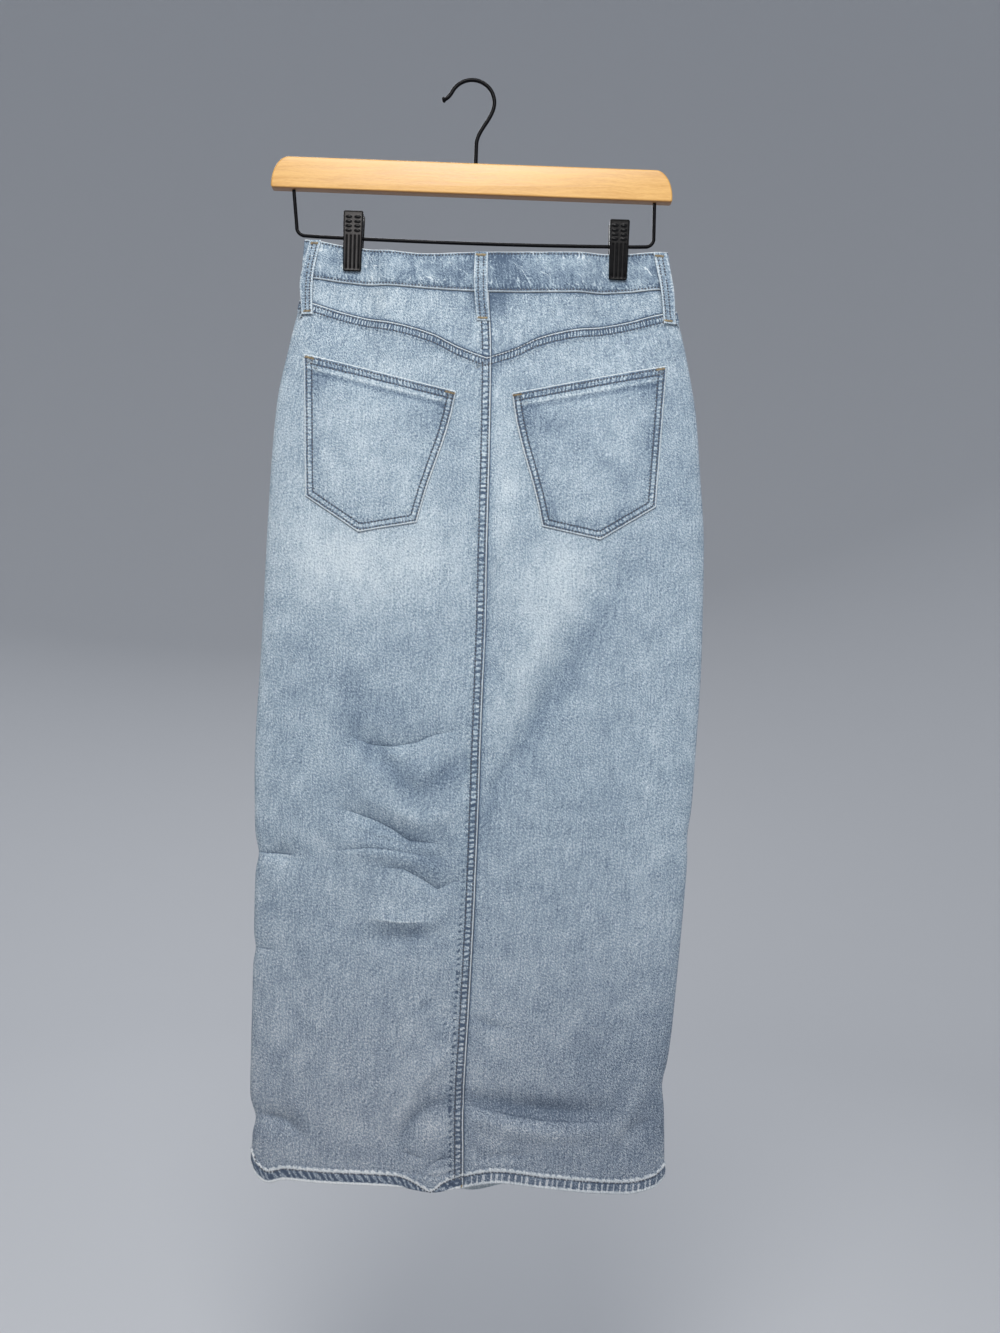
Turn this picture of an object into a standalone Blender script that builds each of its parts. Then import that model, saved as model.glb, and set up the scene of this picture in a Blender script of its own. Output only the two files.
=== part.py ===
"""A long denim skirt hanging from a wooden hanger with two clips.

The skirt's back faces -Y and its front faces +Y. The origin is where the hook bears on what it
hangs from, so everything hangs below it. Sizes and tables are in millimetres; meshes are in metres.
"""

import math
from collections import namedtuple

import bmesh
import bpy
from mathutils import Vector

MM = 0.001
GAP = 0.3  # between sewn pieces

# Cloth
DENIM = 1.4  # thickness of one cloth wall
BAND_THICKNESS = 2.8  # waistband, cloth on cloth
POCKET_THICKNESS = 1.2
POCKET_LIFT = 0.6  # pocket's inner face above the panel
POCKET_HEM = 12.5
POCKET_HEM_RISE = 0.8
LAP = 9.5  # width of a lapped seam
LAP_RISE = 0.9
HEM = 12.5  # height of the turned-up hem
HEM_RISE = 1.1
EDGE = 1.5  # width of the step beside a raised border
FOLD_FADE = 0.45  # folds flatten out where the tube's side is lower than this share of its middle
TURN_SHARE = 0.9  # share of a panel's width that is laid out evenly; the rest turns round the side
COLUMN_ROOM = 0.03  # least share of a panel's width between two columns

# Waist and clips
CLIP_HALF_WIDTH = 10.5  # cloth is flat this far to each side of a clip's middle
CLIP_FALLOFF = 29.0  # and back at its own depth this much further out
PINCHED = 0.35  # inner face to the middle, in a clip
PINCH_BOTTOM = -192.0
PINCH_END = -300.0
CLIP_LEFT = -106.5
CLIP_RIGHT = 145.1

# The tube of cloth: its outline, its back seam and how far each layer stands off the middle
Section = namedtuple("Section", "z left right seam back front")
SECTIONS = [
    Section(-150, -152.2, 190.0, 21.5, 8.5, 8.0),
    Section(-205, -154.5, 200.4, 24.0, 12.0, 10.5),
    Section(-255, -164.0, 213.0, 27.6, 17.5, 14.0),
    Section(-310, -174.0, 224.0, 29.0, 21.5, 16.5),
    Section(-367, -177.5, 230.0, 29.8, 23.5, 17.5),
    Section(-440, -179.5, 236.0, 30.2, 24.5, 17.5),
    Section(-540, -181.2, 237.0, 30.6, 23.5, 16.5),
    Section(-640, -184.0, 234.0, 30.2, 22.5, 15.5),
    Section(-760, -180.0, 228.6, 29.7, 21.5, 15.0),
    Section(-880, -178.8, 221.4, 27.4, 21.5, 14.5),
    Section(-960, -178.0, 215.6, 25.4, 22.0, 14.5),
    Section(-1010, -174.6, 217.2, 26.8, 22.5, 14.5),
    Section(-1065, -173.0, 218.4, 28.2, 23.0, 14.5),
]

# Small dents in the outline at the side seams; side is -1 left, +1 right
Dent = namedtuple("Dent", "side z depth height")
DENTS = [
    Dent(-1, -738, 3.4, 13),
    Dent(-1, -828, 2.2, 10),
    Dent(-1, -988, 4.4, 12),
    Dent(1, -708, 2.0, 18),
    Dent(1, -944, 3.0, 16),
]

# Lines across the cloth, as height against x
Knot = namedtuple("Knot", "x z")
BAND_TOP_BACK = [
    Knot(-153, -155.3),
    Knot(-99, -162.0),
    Knot(-37, -167.2),
    Knot(14, -164.5),
    Knot(100, -161.0),
    Knot(150, -159.2),
    Knot(191, -156.4),
]
BAND_LOW_BACK = [
    Knot(-154, -192.2),
    Knot(-59, -199.4),
    Knot(16, -202.5),
    Knot(109, -199.3),
    Knot(196, -192.6),
]
BAND_TOP_FRONT = [
    Knot(-153, -155.3),
    Knot(-99, -164.5),
    Knot(19, -171.0),
    Knot(140, -163.5),
    Knot(191, -156.4),
]
BAND_LOW_FRONT = [
    Knot(-154, -192.2),
    Knot(-99, -201.5),
    Knot(19, -208.0),
    Knot(140, -200.5),
    Knot(196, -192.6),
]
YOKE_MIDDLE = 22.5
YOKE_SEAM = [  # x here is the distance from the middle of the yoke, the same on both sides
    Knot(0, -265.5),
    Knot(25, -256.4),
    Knot(50, -244.2),
    Knot(75, -236.9),
    Knot(120, -228.0),
    Knot(165, -217.2),
    Knot(184, -212.0),
]
HEM_BACK = [
    Knot(-174, -1026.0),
    Knot(-168, -1041.0),
    Knot(-157, -1047.5),
    Knot(-139, -1042.8),
    Knot(-104, -1043.2),
    Knot(-35, -1042.3),
    Knot(-2, -1046.4),
    Knot(22, -1042.0),
    Knot(60, -1035.8),
    Knot(105, -1040.2),
    Knot(150, -1043.9),
    Knot(180, -1045.2),
    Knot(206, -1040.6),
    Knot(218, -1031.0),
]
HEM_FRONT = [
    Knot(-174, -1026.0),
    Knot(-160, -1040.0),
    Knot(-100, -1045.0),
    Knot(0, -1050.0),
    Knot(34, -1057.5),
    Knot(70, -1050.0),
    Knot(150, -1046.0),
    Knot(200, -1040.0),
    Knot(218, -1031.0),
]

# The largest folds: a line of points, how far the cloth goes in (-) or out (+), and half its width
Fold = namedtuple("Fold", "name rise width points")
BACK_FOLDS = [
    Fold("hip slant", -4.5, 19, [(146, -452), (120, -502), (101, -549), (81, -591), (41, -668)]),
    Fold("seat pinch", -3.0, 13, [(48, -452), (36, -484), (35, -518), (36, -560)]),
    Fold("upper smile", -3.0, 14, [(-95, -622), (-62, -632), (-31, -628), (5, -616)]),
    Fold("upper smile lip", 2.2, 14, [(-92, -656), (-52, -660), (-4, -655)]),
    Fold("knee crease", -4.5, 13, [(-100, -692), (-62, -703), (-34, -720), (-6, -721)]),
    Fold("knee crease lip", 2.5, 12, [(-96, -722), (-60, -728), (-24, -736)]),
    Fold("knee tuck", -3.5, 12, [(-58, -745), (-30, -750), (-6, -764), (14, -755)]),
    Fold("left nip", -4.0, 11, [(-172, -737), (-140, -738)]),
    Fold("shin ridge", 3.0, 12, [(-70, -792), (-38, -795), (-12, -793)]),
    Fold("shin hollow", -3.0, 11, [(-66, -812), (-30, -813), (0, -806)]),
    Fold("low slant", 3.0, 13, [(8, -910), (-10, -930), (-34, -951)]),
    Fold("low hollow", -3.4, 12, [(16, -964), (-8, -973), (-40, -1001)]),
    Fold("left hem fold", -4.6, 12, [(-170, -984), (-141, -989), (-124, -1001)]),
    Fold("overhang", -5.0, 12, [(28, -955), (58, -951), (90, -959), (124, -961), (160, -960)]),
    Fold("overhang lip", 4.0, 11, [(42, -976), (80, -982), (124, -983), (156, -979)]),
    Fold("right hem nip", -2.6, 12, [(168, -1000), (200, -978)]),
]
FRONT_FOLDS = [
    Fold("front hip slant", -4.0, 20, [(-110, -430), (-80, -500), (-40, -570)]),
    Fold("front knee crease", -3.5, 16, [(40, -700), (80, -712), (120, -705)]),
    Fold("front knee lip", 2.5, 15, [(44, -736), (84, -746), (122, -740)]),
    Fold("front low crease", -3.5, 16, [(-100, -930), (-60, -942), (-10, -938)]),
    Fold("front low lip", 2.5, 15, [(-96, -962), (-52, -972), (-8, -968)]),
]

# Pockets, as distances from the middle of the yoke
POCKET_INNER_TOP = (26.0, -299.0)
POCKET_OUTER_TOP = (170.3, -266.0)
POCKET_INNER_BOTTOM = (58.4, -422.3)
POCKET_OUTER_BOTTOM = (164.0, -400.0)
POCKET_POINT = (113.0, -432.6)
POCKET_SIDE_SWAY = 2.5  # hollow of the pocket's inner side

# Belt loops: middle of the strap at its top and bottom end, and how far its foot stands off
Loop = namedtuple("Loop", "name side x_top z_top x_bottom z_bottom foot")
LOOP_WIDTH = 12.6
LOOP_THICKNESS = 1.4
LOOP_BOW = 1.2
LOOP_STEPS = 10
LOOP_STEP_DOWN = 0.62  # share of its length where the strap starts down off the waistband
LOOP_STEP_LENGTH = 0.3
LOOPS = [
    Loop("belt_loop_back_left", -1, -141.4, -156.9, -146.5, -228.0, 2.9),
    Loop("belt_loop_back_centre", -1, 15.6, -165.0, 19.7, -231.0, 2.0),
    Loop("belt_loop_back_right", -1, 183.2, -158.6, 194.4, -226.0, 2.9),
    Loop("belt_loop_front_left", 1, -58.0, -168.6, -60.0, -236.0, 2.0),
    Loop("belt_loop_front_right", 1, 96.0, -168.4, 99.0, -236.0, 2.0),
]

# Waistband
BAND_LEVEL = -178.0  # halfway down it
BAND_STEP = 15.0
BAND_LEAST_STEP = 1.2
BAND_LAP = 20.0  # each end runs this far past the middle of the front
BAND_LAP_RAMP = 24.0
BUTTON_RADIUS = 8.5
BUTTON_HEIGHT = 2.6
BUTTON_LEVEL = -186.0
BUTTON_INSET = 11.5  # its middle, from the end of the lap
BUTTON_SIDES = 20

# Hanger
BAR_LEFT = -186.0
BAR_RIGHT = 194.3
BAR_TOP = -77.9
BAR_BOTTOM = -108.0
BAR_SLOPE = 0.0045  # the hanger hangs a little lower on the right
BAR_THICKNESS = 12.0
BAR_END_LENGTH = 16.5  # the rounded end, along the bar
BAR_END_HEIGHT = 26.0
BAR_LOW_RADIUS = 2.5
BAR_ARRIS = 1.4
HOOK_RADIUS = 1.9
HOOK_BEND = 21.3
HOOK_MIDDLE = (1.5, -HOOK_BEND + HOOK_RADIUS)
HOOK_START = 168.0  # angle of the bend's free end, in degrees from +X
HOOK_END = -18.0
HOOK_TIP = (-24.6, -17.6)
STEM_X = 7.0
STEM_DEPTH = 14.0
STEM_BORE = 2.4
RAIL_RADIUS = 1.7
RAIL_LEFT = -164.7
RAIL_RIGHT = 178.0
RAIL_LOW_LEFT = -160.8  # the legs lean
RAIL_LOW_RIGHT = 178.4
RAIL_Z = -151.2
RAIL_SAG = 2.2
RAIL_CORNER = 8.0
RAIL_DEPTH = 10.0
RAIL_BORE = 2.1
WIRE_SIDES = 10

# Clips
JAW_TOP = -128.4
JAW_BOTTOM = -184.9
JAW_PIVOT = -152.3
JAW_WIDTH_TOP = 19.0
JAW_WIDTH_BOTTOM = 17.0
JAW_SEAT = 3.65  # inner face of a jaw, where it grips the band
JAW_THROAT = 4.4  # and beside the rail
JAW_OUT_TOP = 9.2
JAW_OUT_MIDDLE = 8.4
JAW_OUT_BOTTOM = 6.6
GROOVE_DEPTH = 0.8
GROOVE_WIDTH = 1.5
GROOVES = 3
SPRING_RADIUS = 4.0
SPRING_LENGTH = 13.0


# Smooth curves through the tables

def hermite(xs, ys, x):
    """Smooth value at x of the points (xs, ys); xs rise."""
    if x <= xs[0]:
        return ys[0]
    if x >= xs[-1]:
        return ys[-1]
    k = next(i for i in range(len(xs) - 1) if x <= xs[i + 1])
    slopes = [(ys[i + 1] - ys[i]) / (xs[i + 1] - xs[i]) for i in range(len(xs) - 1)]

    def slope_at(i):
        if i == 0:
            return slopes[0]
        if i == len(xs) - 1:
            return slopes[-1]
        if slopes[i - 1] * slopes[i] <= 0.0:
            return 0.0
        return 2.0 * slopes[i - 1] * slopes[i] / (slopes[i - 1] + slopes[i])

    step = xs[k + 1] - xs[k]
    t = (x - xs[k]) / step
    a = slope_at(k) * step
    b = slope_at(k + 1) * step
    rise = ys[k + 1] - ys[k]
    return ys[k] + t * (a + t * (3.0 * rise - 2.0 * a - b + t * (a + b - 2.0 * rise)))


def line_height(knots, x):
    return hermite([k.x for k in knots], [k.z for k in knots], x)


SECTION_HEIGHTS = [-s.z for s in SECTIONS]
SECTION_COLUMNS = {
    name: [getattr(s, name) for s in SECTIONS] for name in ("left", "right", "seam", "back", "front")
}


def section(z):
    """The tube's row at height z."""
    values = {name: hermite(SECTION_HEIGHTS, column, -z) for name, column in SECTION_COLUMNS.items()}
    for dent in DENTS:
        inward = dent.depth * math.exp(-(((z - dent.z) / dent.height) ** 2))
        if dent.side < 0:
            values["left"] += inward
        else:
            values["right"] -= inward
    return Section(z=z, **values)


def middle_of(z):
    """X halfway between the side seams."""
    row = section(z)
    return (row.left + row.right) / 2.0


def smoothstep(t):
    t = min(max(t, 0.0), 1.0)
    return t * t * (3.0 - 2.0 * t)


# The cloth's inner face

def pinch(x, z):
    """1 where a clip presses the two layers together, 0 away from the clips."""
    near = min(abs(x - CLIP_LEFT), abs(x - CLIP_RIGHT))
    across = 1.0 - smoothstep((near - CLIP_HALF_WIDTH) / CLIP_FALLOFF)
    down = 1.0 - smoothstep((PINCH_BOTTOM - z) / (PINCH_BOTTOM - PINCH_END))
    return across * down


def distance_to_line(points, x, z):
    """Distance to a run of points, and how far along it the nearest place is, 0 to 1."""
    best = (1e9, 0.0)
    lengths = [math.dist(a, b) for a, b in zip(points, points[1:])]
    total = sum(lengths)
    before = 0.0
    for (ax, az), (bx, bz), length in zip(points, points[1:], lengths):
        t = ((x - ax) * (bx - ax) + (z - az) * (bz - az)) / length**2
        t = min(max(t, 0.0), 1.0)
        away = math.hypot(x - ax - t * (bx - ax), z - az - t * (bz - az))
        if away < best[0]:
            best = (away, (before + t * length) / total)
        before += length
    return best


def folded(folds, x, z):
    """How far the folds move the cloth outwards at a place: less towards the ends of each."""
    moved = 0.0
    for fold in folds:
        away, along = distance_to_line(fold.points, x, z)
        if away < 3.0 * fold.width:
            ends = 0.35 + 0.65 * math.sin(math.pi * along)
            moved += fold.rise * ends * math.exp(-((away / fold.width) ** 2))
    return moved


def inner_depth(side, x, z):
    """Distance of the inner face from the plane between the layers; side is -1 back, +1 front."""
    row = section(z)
    half = (row.right - row.left) / 2.0 - DENIM
    level = math.sqrt(max(0.0, 1.0 - ((x - middle_of(z)) / half) ** 2))
    full = row.back if side < 0 else row.front
    folds = BACK_FOLDS if side < 0 else FRONT_FOLDS
    depth = full * level + folded(folds, x, z) * min(1.0, level / FOLD_FADE)
    held = pinch(x, z)
    return depth * (1.0 - held) + PINCHED * held


def across(side, q, z):
    """X of a place that is q of the way from the middle seam to the left (-1) or right (+1) side."""
    row = section(z)
    seam = row.seam if side < 0 else middle_of(z)
    end = row.left + DENIM if q < 0 else row.right - DENIM
    return seam + (end - seam) * abs(q)


def inner_point(side, x, z):
    return Vector((x, side * (inner_depth(side, x, z) + GAP / 2.0), z))


def outward(side, x, z):
    """Direction away from the inner face."""
    row = section(z)
    if x <= row.left + DENIM + 0.01:
        return Vector((-1.0, 0.0, 0.0))
    if x >= row.right - DENIM - 0.01:
        return Vector((1.0, 0.0, 0.0))
    step = 0.25
    room = min(x - row.left - DENIM, row.right - DENIM - x)
    dx = min(step, 0.5 * room)
    slope_x = (inner_depth(side, x + dx, z) - inner_depth(side, x - dx, z)) / (2.0 * dx)
    slope_z = (inner_depth(side, x, z + step) - inner_depth(side, x, z - step)) / (2.0 * step)
    return Vector((-slope_x, side, -slope_z)).normalized()


def on_cloth(side, x, z, height):
    """A point at a height above the inner face."""
    return inner_point(side, x, z) + outward(side, x, z) * height


# Rows and columns of the cloth grids

def columns(flat, turn, borders=()):
    """Fractions from the middle (0) to the side (1), closer together round the side."""
    first = [TURN_SHARE * k / flat for k in range(flat)]
    angle = math.asin(TURN_SHARE)
    left_over = math.pi / 2.0 - angle
    last = [math.sin(angle + left_over * (1.0 - (1.0 - j / turn) ** 1.5)) for j in range(turn + 1)]
    kept = [q for q in first if q == 0.0 or all(abs(q - b) > COLUMN_ROOM for b in borders)]
    return sorted(set(kept + list(borders) + last))


def line_at(knots, side, q, height):
    """Height of a line across the cloth, at a fraction q; height is about where the line runs."""
    return line_height(knots, across(side, q, height))


def yoke_line(q, height=-235.0):
    return line_height(YOKE_SEAM, abs(across(-1, q, height) - YOKE_MIDDLE))


def front_line(q, height=-200.0):
    return line_at(BAND_LOW_FRONT, 1, q, height)


def border(distance, width, rise):
    """Extra thickness of a raised border of a width, at a distance from its edge."""
    return rise * (1.0 - smoothstep((distance - width) / EDGE))


# Making meshes

def new_object(name, mesh, material):
    mesh.materials.append(material)
    item = bpy.data.objects.new(name, mesh)
    bpy.context.collection.objects.link(item)
    return item


def make_material(name, colour, roughness, metallic=0.0):
    material = bpy.data.materials.new(name)
    material.use_nodes = True
    shader = material.node_tree.nodes["Principled BSDF"]
    shader.inputs["Base Color"].default_value = (*colour, 1.0)
    shader.inputs["Roughness"].default_value = roughness
    shader.inputs["Metallic"].default_value = metallic
    return material


def finish_mesh(name, bm, material, sharp=40.0):
    bmesh.ops.recalc_face_normals(bm, faces=bm.faces)
    mesh = bpy.data.meshes.new(name)
    bm.to_mesh(mesh)
    bm.free()
    mesh.shade_smooth()
    mesh.set_sharp_from_angle(angle=math.radians(sharp))
    return new_object(name, mesh, material)


def add_wall(name, inner, outer, material):
    """A closed wall between two grids of points of the same size."""
    bm = bmesh.new()
    sheets = [[[bm.verts.new(p * MM) for p in row] for row in grid] for grid in (inner, outer)]
    rows = len(inner)
    cols = len(inner[0])
    for sheet in sheets:
        for r in range(rows - 1):
            for c in range(cols - 1):
                bm.faces.new((sheet[r][c], sheet[r][c + 1], sheet[r + 1][c + 1], sheet[r + 1][c]))
    rim = [(0, c) for c in range(cols)]
    rim += [(r, cols - 1) for r in range(1, rows)]
    rim += [(rows - 1, c) for c in range(cols - 2, -1, -1)]
    rim += [(r, 0) for r in range(rows - 2, 0, -1)]
    low, high = sheets
    for (r0, c0), (r1, c1) in zip(rim, rim[1:] + rim[:1]):
        bm.faces.new((low[r0][c0], low[r1][c1], high[r1][c1], high[r0][c0]))
    bmesh.ops.triangulate(bm, faces=bm.faces, quad_method="SHORT_EDGE")
    return finish_mesh(name, bm, material)


def add_cloth(name, side, rows, material):
    """A wall through rows of (x, z, lift, thickness) places on a layer's inner face."""
    inner = [[on_cloth(side, x, z, lift) for x, z, lift, _ in row] for row in rows]
    outer = [[on_cloth(side, x, z, lift + thick) for x, z, lift, thick in row] for row in rows]
    return add_wall(name, inner, outer, material)


def add_rings(name, rings, material, sharp=40.0):
    """A closed body through rings of the same number of points."""
    bm = bmesh.new()
    loops = [[bm.verts.new(p * MM) for p in ring] for ring in rings]
    for a, b in zip(loops, loops[1:]):
        for k in range(len(a)):
            j = (k + 1) % len(a)
            bm.faces.new((a[k], a[j], b[j], b[k]))
    bm.faces.new(list(reversed(loops[0])))
    bm.faces.new(loops[-1])
    return finish_mesh(name, bm, material, sharp)


# Cloth pieces

def make_panel(name, side, half, fractions, cols, top_line, hem_line, lapped, material):
    """A long panel: half is -1 for the left and +1 for the right; fractions run down its length."""
    rows = []
    for v in fractions:
        row = []
        for q in cols:
            top = top_line(half * q) - GAP
            low = line_at(hem_line, side, half * q, -1040.0)
            z = top + (low - top) * v
            x = across(side, half * q, z)
            raised = border(z - low, HEM, HEM_RISE)
            if side < 0:
                raised = max(raised, border(top - z, LAP, LAP_RISE))
            if lapped:
                raised = max(raised, border(abs(x - across(side, 0.0, z)), LAP, LAP_RISE))
            if q == 0.0:
                x += half * GAP / 2.0
            row.append((x, z, 0.0, DENIM + raised))
        rows.append(row)
    return add_cloth(name, side, rows, material)


def panel_rows(stops, top_border):
    """Fractions down a panel: stops are (length in mm from the top, step in mm)."""
    length = stops[-1][0]
    places = [0.0]
    if top_border:
        places += [LAP, LAP + EDGE]
    for end, step in stops:
        start = places[-1]
        count = max(1, round((end - start) / step))
        places += [start + (end - start) * k / count for k in range(1, count + 1)]
    places = [p for p in places if p < length - HEM - EDGE - 6.0]
    places += [length - HEM - EDGE, length - HEM, length]
    return [p / length for p in places]


def make_yoke(name, half, cols, material):
    rows = []
    for v in (0.0, 0.34, 0.67, 1.0):
        row = []
        for q in cols:
            top = line_at(BAND_LOW_BACK, -1, half * q, -197.0) - GAP
            low = yoke_line(half * q)
            z = top + (low - top) * v
            x = across(-1, half * q, z)
            if q == 0.0:
                x += half * GAP / 2.0
            row.append((x, z, 0.0, DENIM))
        rows.append(row)
    return add_cloth(name, -1, rows, material)


def band_columns():
    """Fractions along the waistband, left side -1 to right side 1, with the clips' edges."""
    middle = middle_of(BAND_LEVEL)
    half = band_half()
    turned = [half * q for q in columns(1, 6) if q > 0.0]
    places = [middle - d for d in turned] + [middle + d for d in turned]
    for clip in (CLIP_LEFT, CLIP_RIGHT):
        for share in (0.0, 0.3, 0.7):
            away = CLIP_HALF_WIDTH + share * CLIP_FALLOFF
            places += [clip - away, clip + away]
    inside = sorted(x for x in places if abs(x - middle) <= half + 0.001)
    filled = [inside[0]]
    for x in inside[1:]:
        start = filled[-1]
        wide = x - start
        if wide < BAND_LEAST_STEP and abs(x - middle) < TURN_SHARE * half:
            continue
        count = max(1, math.ceil(wide / BAND_STEP))
        filled += [start + wide * k / count for k in range(1, count + 1)]
    return [(x - middle) / half for x in filled]


def band_half():
    row = section(BAND_LEVEL)
    return (row.right - row.left) / 2.0 - DENIM


def band_x(fraction, z):
    row = section(z)
    return middle_of(z) + fraction * ((row.right - row.left) / 2.0 - DENIM)


def make_band(name, side, fractions, top_knots, low_knots, lift, material):
    rows = []
    for v in (0.0, 0.5, 1.0):
        row = []
        for f in fractions:
            top = line_height(top_knots, band_x(f, -160.0))
            low = line_height(low_knots, band_x(f, -197.0))
            z = top + (low - top) * v
            x = band_x(f, z)
            row.append((x, z, lift(x, z), BAND_THICKNESS))
        rows.append(row)
    return add_cloth(name, side, rows, material)


def lap_lift(x, z):
    """The left front end rises over the right one."""
    start = middle_of(z) - BAND_LAP - 1.0
    return (BAND_THICKNESS + GAP) * smoothstep((x - start + BAND_LAP_RAMP) / BAND_LAP_RAMP)


def no_lift(x, z):
    return 0.0


def make_bands(material):
    fractions = band_columns()
    make_band("waistband_back", -1, fractions, BAND_TOP_BACK, BAND_LOW_BACK, no_lift, material)
    end = BAND_LAP / band_half()
    room = COLUMN_ROOM * 2.0 / 3.0
    ramp = [-(BAND_LAP + 1.0 + BAND_LAP_RAMP * k / 3.0) / band_half() for k in range(4)]
    left = [f for f in fractions if f < end - room and all(abs(f - r) > room for r in ramp)]
    left = sorted(left + ramp + [end])
    right = [-end] + [f for f in fractions if f > -end + room]
    make_band("waistband_front_left", 1, left, BAND_TOP_FRONT, BAND_LOW_FRONT, lap_lift, material)
    make_band("waistband_front_right", 1, right, BAND_TOP_FRONT, BAND_LOW_FRONT, no_lift, material)


def pocket_place(p, r):
    """Distance from the yoke's middle and height, p from the inner to the outer side, r downwards."""
    sway = -POCKET_SIDE_SWAY * math.sin(2.0 * math.pi * r) - POCKET_SIDE_SWAY * math.sin(math.pi * r)
    inner_d = POCKET_INNER_TOP[0] + (POCKET_INNER_BOTTOM[0] - POCKET_INNER_TOP[0]) * r + 0.5 * sway
    inner_z = POCKET_INNER_TOP[1] + (POCKET_INNER_BOTTOM[1] - POCKET_INNER_TOP[1]) * r
    outer_d = POCKET_OUTER_TOP[0] + (POCKET_OUTER_BOTTOM[0] - POCKET_OUTER_TOP[0]) * r
    outer_z = POCKET_OUTER_TOP[1] + (POCKET_OUTER_BOTTOM[1] - POCKET_OUTER_TOP[1]) * r
    tip_p = pocket_tip()
    if p < tip_p:
        sag = p / tip_p
    else:
        sag = (1.0 - p) / (1.0 - tip_p)
    straight_z = POCKET_INNER_BOTTOM[1] + (POCKET_OUTER_BOTTOM[1] - POCKET_INNER_BOTTOM[1]) * tip_p
    drop = (POCKET_POINT[1] - straight_z) * sag * r * r
    return inner_d + (outer_d - inner_d) * p, inner_z + (outer_z - inner_z) * p + drop


def pocket_tip():
    wide = POCKET_OUTER_BOTTOM[0] - POCKET_INNER_BOTTOM[0]
    return (POCKET_POINT[0] - POCKET_INNER_BOTTOM[0]) / wide


def make_pocket(name, half, material):
    tip = pocket_tip()
    ps = [tip * k / 5.0 for k in range(5)] + [tip + (1.0 - tip) * k / 5.0 for k in range(6)]
    length = POCKET_INNER_TOP[1] - POCKET_INNER_BOTTOM[1]
    rs = [0.0, POCKET_HEM / length, (POCKET_HEM + EDGE) / length]
    rs += [rs[-1] + (1.0 - rs[-1]) * k / 6.0 for k in range(1, 7)]
    rows = []
    for r in rs:
        row = []
        for p in ps:
            distance, z = pocket_place(p, r)
            thickness = POCKET_THICKNESS + border(r * length, POCKET_HEM, POCKET_HEM_RISE)
            row.append((YOKE_MIDDLE + half * distance, z, DENIM + POCKET_LIFT, thickness))
        rows.append(row)
    return add_cloth(name, -1, rows, material)


def make_loop(loop, material):
    """A strap over the waistband, held at both ends."""
    head = BAND_THICKNESS + 2.0 * GAP
    rows = []
    for k in range(LOOP_STEPS + 1):
        t = k / LOOP_STEPS
        z = loop.z_top + (loop.z_bottom - loop.z_top) * t
        middle = loop.x_top + (loop.x_bottom - loop.x_top) * t
        height = head + (loop.foot - head) * smoothstep((t - LOOP_STEP_DOWN) / LOOP_STEP_LENGTH)
        height += LOOP_BOW * math.sin(math.pi * t) ** 2
        edges = (-0.5, -0.17, 0.17, 0.5)
        rows.append([(middle + s * LOOP_WIDTH, z, height, LOOP_THICKNESS) for s in edges])
    return add_cloth(loop.name, loop.side, rows, material)


def make_button(material):
    """A domed metal button on the lapped end of the waistband."""
    z = BUTTON_LEVEL
    x = middle_of(z) + BAND_LAP - BUTTON_INSET
    base = on_cloth(1, x, z, 2.0 * BAND_THICKNESS + 3.0 * GAP)
    turn = outward(1, x, z).to_track_quat("Z", "Y")
    profile = ((0.72, 0.0), (0.95, 0.2), (1.0, 0.5), (0.93, 0.8), (0.55, 1.0))
    rings = []
    for wide, high in profile:
        ring = []
        for k in range(BUTTON_SIDES):
            a = 2.0 * math.pi * k / BUTTON_SIDES
            radius = wide * BUTTON_RADIUS
            flat = Vector((radius * math.cos(a), radius * math.sin(a), high * BUTTON_HEIGHT))
            ring.append(base + turn @ flat)
        rings.append(ring)
    return add_rings("waist_button", rings, material)


# Hanger

def bar_outline(inset):
    """The bar seen from the front, clockwise from the bottom left."""
    left = BAR_LEFT + inset
    right = BAR_RIGHT - inset
    top = BAR_TOP - inset
    low = BAR_BOTTOM + inset
    rx = BAR_END_LENGTH - inset
    rz = BAR_END_HEIGHT - inset
    small = BAR_LOW_RADIUS - inset
    arcs = [
        (left + small, low + small, small, small, 270.0, 180.0, 3),
        (left + rx, top - rz, rx, rz, 180.0, 90.0, 9),
        (right - rx, top - rz, rx, rz, 90.0, 0.0, 9),
        (right - small, low + small, small, small, 0.0, -90.0, 3),
    ]
    points = []
    for cx, cz, ax, az, start, end, count in arcs:
        for k in range(count):
            a = math.radians(start + (end - start) * k / (count - 1))
            x = cx + ax * math.cos(a)
            points.append((x, cz + az * math.sin(a) - bar_drop(x)))
    return points


def bar_drop(x):
    """How much lower the sloping bar is at x than at its left end."""
    return BAR_SLOPE * (x - BAR_LEFT)


def add_bore(name, target, x, z_open, depth, radius):
    """Drill a blind hole along Z; depth is signed, up or down from the opening."""
    past = -2.0 if depth > 0 else 2.0
    z_open -= bar_drop(x)
    bm = bmesh.new()
    bmesh.ops.create_cone(
        bm, cap_ends=True, segments=12, radius1=radius * MM, radius2=radius * MM,
        depth=(abs(depth) + 2.0) * MM,
    )
    mesh = bpy.data.meshes.new(name)
    bm.to_mesh(mesh)
    bm.free()
    cutter = bpy.data.objects.new(name, mesh)
    bpy.context.collection.objects.link(cutter)
    cutter.location = (x * MM, 0.0, (z_open + (depth + past) / 2.0) * MM)
    cutter.hide_render = True
    cutter.display_type = "WIRE"
    cut = target.modifiers.new(name, "BOOLEAN")
    cut.operation = "DIFFERENCE"
    cut.solver = "EXACT"
    cut.object = cutter


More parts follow.
